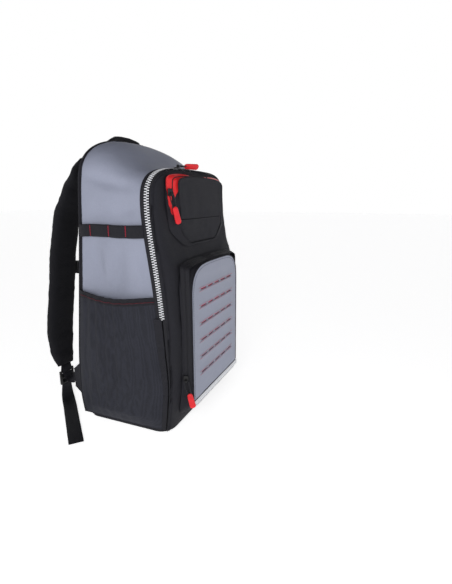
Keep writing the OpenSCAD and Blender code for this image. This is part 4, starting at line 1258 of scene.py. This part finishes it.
def build_side_pockets():
    """Mesh pockets with a gathered elastic band and its thread along the top."""
    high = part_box("side_pocket_left")[1]
    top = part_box("side_pocket_binding_left")[1][2]
    for side, name in ((-1, "left"), (1, "right")):
        grid = side_pocket_grid(FOOT + 0.6 * MM, high[2], 70, 1.2 * MM)
        u = np.linspace(0, 1, grid.shape[0])[:, None]
        v = np.linspace(0, 1, grid.shape[1])[None, :]
        dip = 7.0 * MM * np.sin(math.pi * u) ** 1.4 * np.clip((v - 0.6) / 0.4, 0, 1)
        grid[..., 2] -= dip
        wave = rumple(grid, 34.0, 50.0 + 3 * side, (1, 1, 0.45)) * 2.2 * MM
        wave += rumple(grid, 90.0, 57.0) * 0.5 * MM
        hold = (np.sin(math.pi * u) ** 0.7) * np.clip((grid[..., 2] - FOOT) / 0.02, 0, 1)
        grid[..., 0] -= np.clip(wave, -2 * MM, 2 * MM) * hold
        if side > 0:
            grid[..., 0] *= -1
        skin = sheet_mesh("side_pocket_mesh_" + name, grid, 0.9 * MM, (side * 9, 0, 0.1))
        place(skin, "pack", "mesh_charcoal", "side_pocket_" + name)
        edge = grid[:, -1]
        band = []
        for w in np.linspace(0, 1, 7):
            row = edge.copy()
            row[:, 2] += -1.5 * MM + w * (top - high[2] + 1.5 * MM)
            row[:, 0] += side * (0.6 * MM + 0.7 * MM * math.sin(math.pi * w))
            gather = 0.35 * MM * np.sin(2 * math.pi * 42 * u[:, 0])
            row[:, 0] += side * gather
            band.append(row)
        binding = sheet_mesh("side_pocket_band_" + name, np.stack(band, 1), 1.7 * MM, (side * 9, 0, 0.2))
        place(binding, "pack", "webbing_black", "side_pocket_binding_" + name)
        middle = np.stack(band, 1)[:, 3]
        line = middle + np.array([side * 0.35 * MM, 0, -1.5 * MM])
        red = tube("side_pocket_thread_" + name, line, 0.4 * MM, sides=6)
        place(red, "pack", "thread_red", material=DARK_THREAD)


def build_side_webbing():
    """Webbing across each side, in four slack spans between tacks."""
    tacks = [0.44, 0.04, -0.32]
    half_depth = -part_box("base_panel")[0][1]
    for side, name in ((-1, "left"), (1, "right")):
        low, high = (np.array(c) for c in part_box("side_webbing_" + name))
        ends = [high[1]] + [t * half_depth for t in tacks] + [low[1] - 3 * MM]
        route = []
        lift = high[0] - low[0] - 2.4 * MM
        for i in range(4):
            a, b = ends[i], ends[i + 1]
            for t in np.linspace(0, 1, 16, endpoint=i == 3):
                route.append((HALF + 1.1 * MM + lift * math.sin(math.pi * t) ** 0.62, a + (b - a) * t, WEB_Z))
        route = np.array(route) * (side, 1, 1)
        route[:, 2] += 0.6 * MM * np.sin(route[:, 1] * 60)
        band = ribbon("side_webbing_cloth_" + name, route, (0, 0, 1), WEB_H - 0.5 * MM, 1.5 * MM)
        place(band, "pack", "webbing_black", "side_webbing_" + name)
    template = rounded_block("tack", (0.9 * MM, 1.1 * MM, 1.15 * MM), 0.3 * MM, 1)
    places = []
    for side in (-1, 1):
        for t in tacks:
            count = 15
            for k in range(count):
                z = WEB_Z + (k / (count - 1) - 0.5) * (WEB_H - 5 * MM)
                y = t * half_depth + (0.55 * MM if k % 2 else -0.55 * MM)
                move = Matrix.Translation((side * (HALF + 2.2 * MM), y, z))
                places.append(move @ Matrix.Diagonal((1, 1.5, 1, 1)))
    marks = copies("bar_tacks", template, places)
    place(marks, "pack", "thread_red", "side_bartacks")


# ---------------------------------------------------------------- back: pads, straps, wings

def build_pads():
    left = back_pad_mesh("back_pad_cloth_left", "back_pad_left", (-0.45, 0.0, 0.45))
    right = mirrored(left, "back_pad_cloth_right")
    lumbar = back_pad_mesh("lumbar_pad_cloth", "lumbar_pad", (-0.35, 0.35))
    place(left, "pack", "mesh_charcoal", "back_pad_left")
    place(right, "pack", "mesh_charcoal", "back_pad_right")
    place(lumbar, "pack", "mesh_charcoal", "lumbar_pad")
    rows = []
    for x0, x1, z0, z1 in ((-0.128, -0.020, 0.250, 0.438), (0.020, 0.128, 0.250, 0.438),
                           (-0.120, 0.120, 0.064, 0.234)):
        xs = [x0, x1, x1, x0, x0]
        zs = [z0, z0, z1, z1, z0]
        corners = smooth_line(xs, zs, 60)
        rows.append((np.stack([corners[:, 0], rear(corners[:, 1]) + 0.5 * MM, corners[:, 1]], 1), (0, 1, 0)))
    place(stitch_rows("pad_stitches", rows, pitch=4 * MM), "pack", "webbing_black")


def smooth_line(xs, zs, per_side):
    points = []
    for i in range(len(xs) - 1):
        for t in np.linspace(0, 1, per_side, endpoint=False):
            points.append((xs[i] + (xs[i + 1] - xs[i]) * t, zs[i] + (zs[i + 1] - zs[i]) * t))
    return np.array(points + [points[0]])


def strap_lines():
    """Centre line and half widths of the strap, read back from its CAD points level by level."""
    points = node_points("shoulder_strap_left")
    count = 29
    zs = np.linspace(80 * MM, 500 * MM, count)
    centres, halves = [], []
    for z in zs:
        near = points[np.abs(points[:, 2] - z) < 11 * MM]
        centres.append(((near[:, 0].min() + near[:, 0].max()) / 2, near[:, 1].mean(), z))
        halves.append((near[:, 0].max() - near[:, 0].min()) / 2)
    return np.array(centres), np.array(halves)


def build_strap():
    """Left padded strap: rounded foam section with a bound edge and channels of stitching."""
    centres, halves = strap_lines()
    route = smooth_route(centres, 130)
    run = np.linspace(0, 1, 130)
    half = np.interp(run, np.linspace(0, 1, len(halves)), halves)
    tangent = np.gradient(route, axis=0)
    tangent /= np.linalg.norm(tangent, axis=1, keepdims=True)
    side = np.array([1.0, 0, 0]) - tangent * tangent[:, :1]
    side /= np.linalg.norm(side, axis=1, keepdims=True)
    out = np.cross(side, tangent)
    out *= np.sign(out[60, 1])
    thick = 9.4 * MM * np.interp(route[:, 2], [0.080, 0.098, 0.470, 0.490, 0.500],
                                 [0.42, 1.0, 1.0, 0.50, 0.34])
    angles = np.linspace(0, 2 * math.pi, 56, endpoint=False)
    grid = []
    for a in angles:
        c, s = math.cos(a), math.sin(a)
        u = np.sign(c) * abs(c) ** 0.55
        w = np.sign(s) * abs(s) ** 0.8
        bulk = w * thick * (1 - 0.22 * abs(u) ** 6)
        channel = 1 - 0.10 * math.exp(-0.5 * (u / 0.05) ** 2)
        grid.append(route + side * (u * half)[:, None] * 0.985 + out * (bulk * channel)[:, None])
    grid = np.stack(grid, 1)
    pucker = rumple(grid, 48.0, 60.0, (1, 1, 1.6)) * 1.1 * MM
    centre = route[:, None]
    away = grid - centre
    away /= np.maximum(np.linalg.norm(away, axis=2, keepdims=True), 1e-9)
    grid = grid + away * pucker[..., None]
    n, m = grid.shape[:2]
    faces = [(i * m + j, i * m + (j + 1) % m, (i + 1) * m + (j + 1) % m, (i + 1) * m + j)
             for i in range(n - 1) for j in range(m)]
    faces += [tuple(range(m - 1, -1, -1)), tuple((n - 1) * m + j for j in range(m))]
    uv = np.array([(j / m * 0.14, i / n * 0.44) for i in range(n) for j in range(m)])
    strap = build_mesh("strap_pad_left", grid.reshape(-1, 3), faces, uv)
    outward_faces(strap)
    edges = []
    for s in (-1, 1):
        line = route + side * (s * (half * 0.985 - 1.0 * MM))[:, None]
        edges.append(line[3:-3])
    ends = [tube("strap_binding_edge", line, 1.6 * MM, sides=10) for line in edges]
    binding = join("strap_binding_left", ends)
    webbing_line = (route + out * (thick + 0.9 * MM)[:, None])[4:-12]
    web = ribbon("strap_webbing_left", webbing_line, (1, 0, 0), 25 * MM, 1.4 * MM)
    rows = []
    for s in (-1, 1):
        rows.append((webbing_line + side[4:-12] * s * 10.5 * MM + out[4:-12] * 0.75 * MM, out[60]))
    stitches = stitch_rows("strap_stitches_left", rows, pitch=4.2 * MM, radius=0.3 * MM)
    return strap, binding, web, stitches


def build_straps():
    strap, binding, web, stitches = build_strap()
    right = [mirrored(p, p.name.replace("left", "right")) for p in (strap, binding, web, stitches)]
    for pieces, name in (((strap, binding, web, stitches), "left"), (right, "right")):
        place(pieces[0], "pack", "fabric_black", "shoulder_strap_" + name, material=PADDED_BLACK)
        place(pieces[1], "pack", "webbing_black")
        place(pieces[2], "pack", "webbing_black")
        place(pieces[3], "pack", "fabric_black")
    low, high = (np.array(c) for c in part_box("strap_anchor_band"))
    xs = np.linspace(low[0], high[0], 60)
    zs = np.linspace(low[2], high[2], 10)
    grid = np.array([[(x, rear(z) + 2.2 * MM, z) for z in zs] for x in xs])
    band = sheet_mesh("strap_anchor_cloth", grid, 1.8 * MM, (0, 9, 0.5))
    place(band, "pack", "webbing_black", "strap_anchor_band")
    rows = [(np.stack([xs, np.full(60, rear(z) + 2.3 * MM), np.full(60, z)], 1), (0, 1, 0)) for z in
            (low[2] + 3 * MM, high[2] - 3 * MM)]
    place(stitch_rows("anchor_stitches", rows), "pack", "thread_red", material=MATERIALS["fabric_black"])


def sheet_between(name, edge_a, edge_b, thick, outward, rows=10, sag=0.0):
    """Sheet between two edges, sagging in its middle."""
    grid = []
    for s in np.linspace(0, 1, rows):
        row = (1 - s) * np.asarray(edge_a) + s * np.asarray(edge_b)
        row[:, 0] += sag * math.sin(math.pi * s) * 0.4
        row[:, 1] += sag * math.sin(math.pi * s)
        grid.append(row)
    grid = np.stack(grid, 1)
    grid = grid + np.array([1, 0.4, 0])[None, None] * (rumple(grid, 60.0, 71.0) * 0.5 * MM)[..., None]
    return sheet_mesh(name, grid, thick, outward)


def build_wings():
    """Stitched wing from the back seam, its twisted webbing and the loop that holds the ladder lock."""
    tip = np.array([-113, 150, 57]) * MM
    roots = np.linspace(24, 116, 16) * MM
    root = np.stack([np.full(16, -HALF + 14 * MM), rear(roots) + 1.2 * MM, roots], 1)
    end_z = np.linspace(tip[2] - 19.5 * MM, tip[2] + 19.5 * MM, 16)
    end = np.stack([np.full(16, tip[0]), np.full(16, tip[1]), end_z], 1)
    wing = sheet_between("strap_wing_cloth_left", root, end, 3.2 * MM, (-9, 0, 0.06), 24, sag=-1.0 * MM)
    rim = []
    for k in (0, 15):
        line = np.linspace(root[k], end[k], 20) + np.array([1.2 * MM, 0, 0])
        rim.append(tube("wing_rim", line, 1.5 * MM, sides=8))
    rim = join("strap_wing_rim_left", rim)
    start, stop = tip + np.array([0, 1, 0]) * MM, np.array([-104, 172, 52]) * MM
    shares = np.linspace(0, 1, 40)
    rows = []
    for v in np.linspace(-1, 1, 7):
        turn = shares * math.pi / 2
        across = np.stack([np.sin(turn), 0 * turn, np.cos(turn)], 1)
        rows.append((1 - shares)[:, None] * start + shares[:, None] * stop + across * v * 12.2 * MM)
    web = sheet_mesh("lower_webbing_cloth_left", np.stack(rows, 1), 1.4 * MM, (-9, 0, 0.06))
    lock = JOINT_AT["ladder_lock_left_tilt"]
    radius = 3.4 * MM
    top = lock + np.array([0, 0, 13.5 * MM])
    ring = [lock + np.array([0, -radius * math.cos(a), -radius * math.sin(a)])
            for a in np.radians(np.linspace(0, 180, 18))]
    route = [top + np.array([0, -1.1 * MM, 0])] + ring + [top + np.array([0, 1.1 * MM, 0])]
    loop_mesh = ribbon("strap_end_loop_cloth_left", np.array(route), (1, 0, 0), 25 * MM, 1.3 * MM)
    for piece, slot, node in ((wing, "fabric_black", "strap_wing_"), (rim, "webbing_black", None),
                              (web, "webbing_black", "lower_webbing_"),
                              (loop_mesh, "webbing_black", "strap_end_loop_")):
        other = mirrored(piece, piece.name.replace("left", "right"))
        place(piece, "pack", slot, *([node + "left"] if node else []))
        place(other, "pack", slot, *([node + "right"] if node else []))


def build_lock_webbing():
    """Webbing threaded over the ladder lock's bars, between the twisted webbing and the free tail."""
    for name in ("left", "right"):
        lock = JOINT_AT["ladder_lock_%s_tilt" % name]
        around = [(-7.5, -15.5), (-5.2, -12.0), (-4.6, -9.0), (-3.6, -6.6), (0.0, -5.6), (3.6, -7.0),
                  (5.0, -10.5), (5.2, -16), (4.6, -22), (4.4, -27), (3.4, -31)]
        route = smooth_route([lock + np.array([0, a, b]) * MM for a, b in around], 60)
        web = ribbon("lock_webbing_" + name, route, (1, 0, 0), 24.5 * MM, 1.4 * MM)
        web.data.materials.clear()
        web.data.materials.append(MATERIALS["webbing_black"])
        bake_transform(web)


TAIL_ROUTE = [
    (-104, 184, 35), (-104.5, 184, 27), (-106, 182.5, 18), (-109, 179, 10), (-114, 173, 4.5),
    (-121, 165, 2), (-130, 154.5, 1.4), (-142, 141, 1.3), (-155, 127, 1.3), (-168, 112.5, 1.3),
    (-181, 98.5, 1.3), (-194, 84, 1.3), (-207, 70, 1.3), (-220, 55.5, 1.3), (-232, 42.5, 1.3)]
TAIL_WIDTH = 27 * MM


def build_tails():
    """Free ends of the adjustment webbing."""
    for side, name in ((1, "left"), (-1, "right")):
        points = np.array(TAIL_ROUTE) * MM * (side, 1, 1)
        route = smooth_route(points, 90)
        share = np.clip(np.linspace(0, 14, 90) / 5, 0, 1)[:, None]
        across = (1 - share) * np.array([1.0, 0, 0]) + share * np.array([0.73, -0.68 * side, 0.0])
        tangent = np.gradient(route, axis=0)
        tangent /= np.linalg.norm(tangent, axis=1, keepdims=True)
        across -= tangent * np.sum(across * tangent, 1, keepdims=True)
        across /= np.linalg.norm(across, axis=1, keepdims=True)
        piece = ribbon("tail_webbing_" + name, route, across, TAIL_WIDTH - 0.6 * MM, 1.5 * MM)
        place(piece, "pack", "webbing_black", "webbing_tail_" + name)


# ---------------------------------------------------------------- haul loop

def haul_frame():
    lean = math.radians(25)
    origin = np.array([0, 62, 511]) * MM
    up = np.array([0, math.sin(lean), math.cos(lean)])
    across = np.array([0, math.cos(lean), -math.sin(lean)])
    return origin, up, across


def build_haul_loop():
    """Webbing arch at the top of the back, with a padded grip stitched round its middle."""
    origin, up, across = haul_frame()
    half = (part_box("haul_loop")[1][0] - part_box("haul_loop")[0][0]) / 2 - 1 * MM
    rise = 36 * MM

    def at(x):
        height = rise * (1 - min(1, abs(x) / half) ** 2.6) ** 0.8
        return origin + np.array([x, 0, 0]) + up * height

    xs = half * np.cos(np.linspace(math.pi, 0, 70))
    route = smooth_route([at(x) for x in xs], 110)
    width = np.interp(np.abs(route[:, 0]), [0, half * 0.7, half], [1.0, 0.86, 0.44])
    strip = ribbon("haul_loop_cloth", route, across, 23 * MM, 2.2 * MM, scale=width)
    place(strip, "haul_handle", "webbing_black", "haul_loop")
    grip_route = smooth_route([at(x) for x in np.linspace(-42, 42, 19) * MM], 60)
    outline = []
    for a in np.linspace(0, 2 * math.pi, 28, endpoint=False):
        c, s = math.cos(a), math.sin(a)
        outline.append((14.2 * MM * np.sign(c) * abs(c) ** 0.5, 3.9 * MM * np.sign(s) * abs(s) ** 0.6))
    grip = sweep("haul_grip_cloth", grip_route, outline, across)
    wrinkle(grip, 60.0, 0.5 * MM, 33.0)
    place(grip, "haul_handle", "fabric_black", "haul_loop_grip", material=PADDED_BLACK)
    rows = []
    for s in (-1, 1):
        line = grip_route[3:-3] + across * s * 11.2 * MM
        ups = np.cross(np.gradient(line, axis=0), across)
        ups /= np.linalg.norm(ups, axis=1, keepdims=True)
        ups *= np.sign(ups[len(ups) // 2, 2])
        rows.append((line + ups * 3.75 * MM, (0, 0.2, 1)))
    place(stitch_rows("grip_stitches", rows, pitch=3.6 * MM), "haul_handle", "fabric_black")


def wrinkle(piece, scale, amount, seed):
    """Pushes a finished piece in and out by smooth noise."""
    for v in piece.data.vertices:
        v.co += v.normal * (noise.noise(v.co * scale + Vector((seed, 0, 0))) * amount)
    piece.data.update()


# ---------------------------------------------------------------- plastic hardware

def bevelled_node(node, name, bevel, body, slot="moulded_black", segments=3):
    """The CAD node itself with rounded edges."""
    source = frame["nodes"][node]
    data = source.data.copy()
    data.transform(source.matrix_world)
    work = bmesh.new()
    work.from_mesh(data)
    bmesh.ops.remove_doubles(work, verts=work.verts, dist=1e-6)
    bmesh.ops.dissolve_limit(work, angle_limit=math.radians(2), verts=work.verts, edges=work.edges)
    sharp = [e for e in work.edges if len(e.link_faces) == 2 and e.calc_face_angle(0) > math.radians(30)]
    bmesh.ops.bevel(work, geom=sharp, offset=bevel, segments=segments, profile=0.5, affect="EDGES",
                    clamp_overlap=True)
    fresh = bpy.data.meshes.new(name)
    work.to_mesh(fresh)
    work.free()
    piece = link_mesh(name, fresh)
    shade_smooth(piece.data)
    smooth_by_angle(piece)
    place(piece, body, slot, node)
    return piece


def smooth_by_angle(piece, angle=40):
    work = bmesh.new()
    work.from_mesh(piece.data)
    for e in work.edges:
        e.smooth = len(e.link_faces) != 2 or e.calc_face_angle(0) < math.radians(angle)
    work.to_mesh(piece.data)
    work.free()


def build_ladder_locks():
    for side, name in ((-1, "left"), (1, "right")):
        low, high = (np.array(c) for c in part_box("ladder_lock_" + name))
        body = "ladder_lock_" + name
        pivot = np.array([side * 104, 181, 66]) * MM
        width, height = high[0] - low[0], 28 * MM
        parts = []
        reach = width / 2 - 1 * MM
        bar = tube("bar", [pivot + np.array([x, 0, 0]) for x in np.linspace(-reach, reach, 6)],
                   2.1 * MM, sides=16)
        parts.append(bar)
        for s in (-1, 1):
            rail = rounded_block("rail", (4.2 * MM, 5 * MM, height + 2.4 * MM), 1.3 * MM)
            offset = np.array([s * (width / 2 - 2.1 * MM), 0, -height / 2 + 0.6 * MM])
            rail.data.transform(Matrix.Translation(tuple(pivot + offset)))
            parts.append(rail)
        for dz, tall, deep in ((-height / 2, 4.0, 4.6), (-height + 2.1 * MM, 4.2, 5.0)):
            rung = rounded_block("rung", (width - 3 * MM, deep * MM, tall * MM), 1.3 * MM)
            rung.data.transform(Matrix.Translation(tuple(pivot + np.array([0, 0, dz]))))
            parts.append(rung)
        for k in range(9):
            rib = rounded_block("rib", (1.1 * MM, 1.2 * MM, 3.2 * MM), 0.3 * MM, 1)
            offset = np.array([(k - 4) * 3 * MM, 2.4 * MM, -height / 2])
            rib.data.transform(Matrix.Translation(tuple(pivot + offset)))
            parts.append(rib)
        place(join("ladder_lock_body_" + name, parts), body, "moulded_black", body)


def build_sternum():
    for name in ("sternum_slider_left", "sternum_slider_right"):
        bevelled_node(name, name + "_body", 1.4 * MM, "sternum_strap")
    for name in ("sternum_webbing_left", "sternum_webbing_right"):
        low, high = (np.array(c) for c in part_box(name))
        centre = (low + high) / 2
        xs = np.linspace(low[0], high[0], 40)
        route = np.stack([xs, np.full(40, centre[1]), np.full(40, centre[2])], 1)
        band = ribbon(name + "_cloth", route, (0, 0, 1), high[2] - low[2] - 0.3 * MM, 1.4 * MM)
        place(band, "sternum_strap", "webbing_black", name)
    bevelled_node("sternum_buckle_female", "sternum_buckle_socket", 1.2 * MM, "sternum_strap")
    bevelled_node("sternum_buckle_male", "sternum_buckle_tongue", 1.0 * MM, "sternum_clip")


def pull_matrix(node_origin, outward, along):
    """Slider frame: local Z along the zip, local -Y outward."""
    outward = np.asarray(outward, float)
    along = np.asarray(along, float)
    y = -outward
    x = np.cross(y, along)
    return axes_matrix(node_origin, x, y, along)


def build_slider(name, matrix, body, node):
    parts = []
    top = rounded_block("plate", (8.6 * MM, 1.3 * MM, 12.6 * MM), 0.6 * MM)
    for v in top.data.vertices:
        if v.co.z < -2 * MM:
            v.co.x *= 0.72
    top.data.transform(Matrix.Translation((0, -2.5 * MM, 3.0 * MM)))
    parts.append(top)
    low = rounded_block("under", (8.4 * MM, 1.5 * MM, 12.4 * MM), 0.5 * MM)
    low.data.transform(Matrix.Translation((0, -1.15 * MM, 3.0 * MM)))
    parts.append(low)
    for s in (-1, 1):
        wall = rounded_block("wall", (1.2 * MM, 2.4 * MM, 10.5 * MM), 0.4 * MM)
        wall.data.transform(Matrix.Translation((s * 3.8 * MM, -1.7 * MM, 3.0 * MM)))
        parts.append(wall)
    angles = np.radians(np.linspace(-35, 215, 22))
    bail = [(0, -5.6 * MM - 2.45 * MM * math.sin(a), 2.45 * MM * math.cos(a)) for a in angles]
    bail = [(0, -3.0 * MM, 2.3 * MM)] + bail + [(0, -3.0 * MM, -2.3 * MM)]
    route = smooth_route(bail, 40)
    parts.append(ribbon("bail", route, (1, 0, 0), 2.6 * MM, 0.9 * MM))
    slider = join(name, parts)
    slider.data.transform(matrix)
    place(slider, body, "moulded_black", node)


def build_pull(name, matrix, body, node, cord, grip, sway, roll=0):
    """Loop of black cord through the slider's bail, ending in a moulded red grip."""
    lean = math.radians(sway)
    turn = Matrix.Rotation(lean, 4, "Y")
    lift = -5.6 * MM
    half = 4.0 * MM
    top = [(x, lift, 0.2 * MM) for x in (-0.9 * MM, 0, 0.9 * MM)]
    down = lambda s: [(s * half, lift, -3.2 * MM), (s * half * 1.05, lift - 0.2 * MM, -cord * 0.4),
                      (s * half * 0.9, lift, -cord * 0.75), (s * half * 0.7, lift, -cord - 3 * MM)]
    left, right = ((s * half * 0.75, lift, -0.6 * MM) for s in (-1, 1))
    route = list(reversed(down(-1))) + [left] + top + [right] + down(1)
    loop = tube(name + "_cord", smooth_route(route, 70), 0.95 * MM, sides=8)
    block = grip_body(name, grip)
    block.data.transform(Matrix.Rotation(math.radians(roll), 4, "Z"))
    block.data.transform(Matrix.Translation((0, lift, -cord - grip / 2)))
    swing = Matrix.Translation((0, lift, 0)) @ turn @ Matrix.Translation((0, -lift, 0))
    for piece in (loop, block):
        piece.data.transform(swing)
        piece.data.transform(matrix)
    place(block, body, "pull_red", node)
    place(loop, body, "fabric_black", material=CORD_BLACK)


def grip_body(name, length):
    """Tapered flat grip with rounded ends and three finger ribs."""
    zs = np.linspace(-0.5, 0.5, 34)
    route = np.stack([0 * zs, 0 * zs, zs * length], 1)
    wide = 5.6 * MM * np.clip(1 - np.abs(zs * 2) ** 9 * 0.55, 0, 1) * (1 + 0.10 * (-zs * 2))
    thick = 2.4 * MM * np.clip(1 - np.abs(zs * 2) ** 7 * 0.5, 0, 1)
    for z0 in (-0.24, -0.10, 0.04):
        thick *= 1 - 0.16 * np.exp(-0.5 * ((zs - z0) / 0.018) ** 2)
        wide *= 1 - 0.05 * np.exp(-0.5 * ((zs - z0) / 0.018) ** 2)
    points = []
    m = 24
    for i in range(len(zs)):
        for a in np.linspace(0, 2 * math.pi, m, endpoint=False):
            c, s = math.cos(a), math.sin(a)
            points.append((wide[i] * np.sign(c) * abs(c) ** 0.6,
                           thick[i] * np.sign(s) * abs(s) ** 0.7, route[i, 2]))
    n = len(zs)
    faces = [(i * m + j, i * m + (j + 1) % m, (i + 1) * m + (j + 1) % m, (i + 1) * m + j)
             for i in range(n - 1) for j in range(m)]
    faces += [tuple(range(m - 1, -1, -1)), tuple((n - 1) * m + j for j in range(m))]
    piece = build_mesh(name + "_grip", points, faces)
    outward_faces(piece)
    return piece


def build_sliders():
    main = np.array([-46 * MM, zip_line(ZIP_TOP) + PART_GAP, ZIP_TOP + 0.8 * MM])
    matrix = pull_matrix(main, (0, 0, 1), (-1, 0, 0))
    build_slider("main_slider_body", matrix, "main_slider", "main_slider")
    build_pull("main_zip", matrix, "main_pull", "main_pull", 14 * MM, 30 * MM, 32, 55)
    for name, at, lean, cord, sway in (("upper", (-110.9, -97.1, 438), 26.4, 22, -15),
                                       ("lower", (-118.9, -123.3, 104), 59.4, 26, -13)):
        turn = math.radians(lean)
        matrix = pull_matrix(np.array(at) * MM, (-math.sin(turn), -math.cos(turn), 0), (0, 0, 1))
        build_slider(name + "_slider_body", matrix, name + "_slider", name + "_slider")
        build_pull(name + "_zip", matrix, name + "_pull", name + "_pull", cord * MM, 30 * MM, sway)


# ---------------------------------------------------------------- piping and inside

def build_piping():
    """Rolled piping where the sides and top meet the back panel."""
    edge = shell_points([0.0])[:, 0]
    tangent = np.gradient(edge, axis=0)
    outward = np.cross(tangent, (0, 1, 0))
    outward /= np.linalg.norm(outward, axis=1, keepdims=True)
    if outward[5][0] > 0:
        outward = -outward
    route = edge + outward * 0.2 * MM + np.array([0, 0.2 * MM, 0])
    cord = tube("back_piping", route, 1.9 * MM, sides=12)
    place(cord, "pack", "fabric_black")
    line, _ = arch_route(tape_rear, out=0.5 * MM, low=FLAP_TOP)
    place(tube("zip_piping", line, 1.2 * MM, sides=8), "pack", "fabric_black")


def build_inside():
    """Lining just inside the shell, the padded shelf, and the base and back boards."""
    points = shell_points(np.linspace(0.03, 0.97, 18))
    inward = points.copy()
    inward[..., 0] *= (HALF - 10 * MM) / HALF
    z = points[..., 2]
    inward[..., 2] = np.where(z > FLAP_TOP, FLAP_TOP + (z - FLAP_TOP) * 0.975, z)
    lining = sheet_mesh("side_lining", inward, 0.6 * MM, (-9, 0, 0.3))
    place(lining, "pack", "lining_grey")
    low, high = (np.array(c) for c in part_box("divider_shelf"))
    shelf = rounded_block("shelf_pad", tuple(high - low), 2.2 * MM, 3)
    shelf.data.transform(Matrix.Translation(tuple((low + high) / 2)))
    place(shelf, "pack", "lining_grey", "divider_shelf")
    for node, name in (("base_stiffener", "base_board"), ("frame_sheet", "back_board")):
        bevelled_node(node, name, 0.4 * MM, "pack", "stiffener_board", 1)


add_camera()
add_stage()
build_shell()
build_back()
build_base()
build_main_zip()
build_flaps()
build_foot_binding()
build_front()
build_upper_pocket()
build_lower_pocket()
build_side_pockets()
build_side_webbing()
build_pads()
build_straps()
build_wings()
build_lock_webbing()
build_tails()
build_haul_loop()
build_ladder_locks()
build_sternum()
build_sliders()
build_piping()
build_inside()
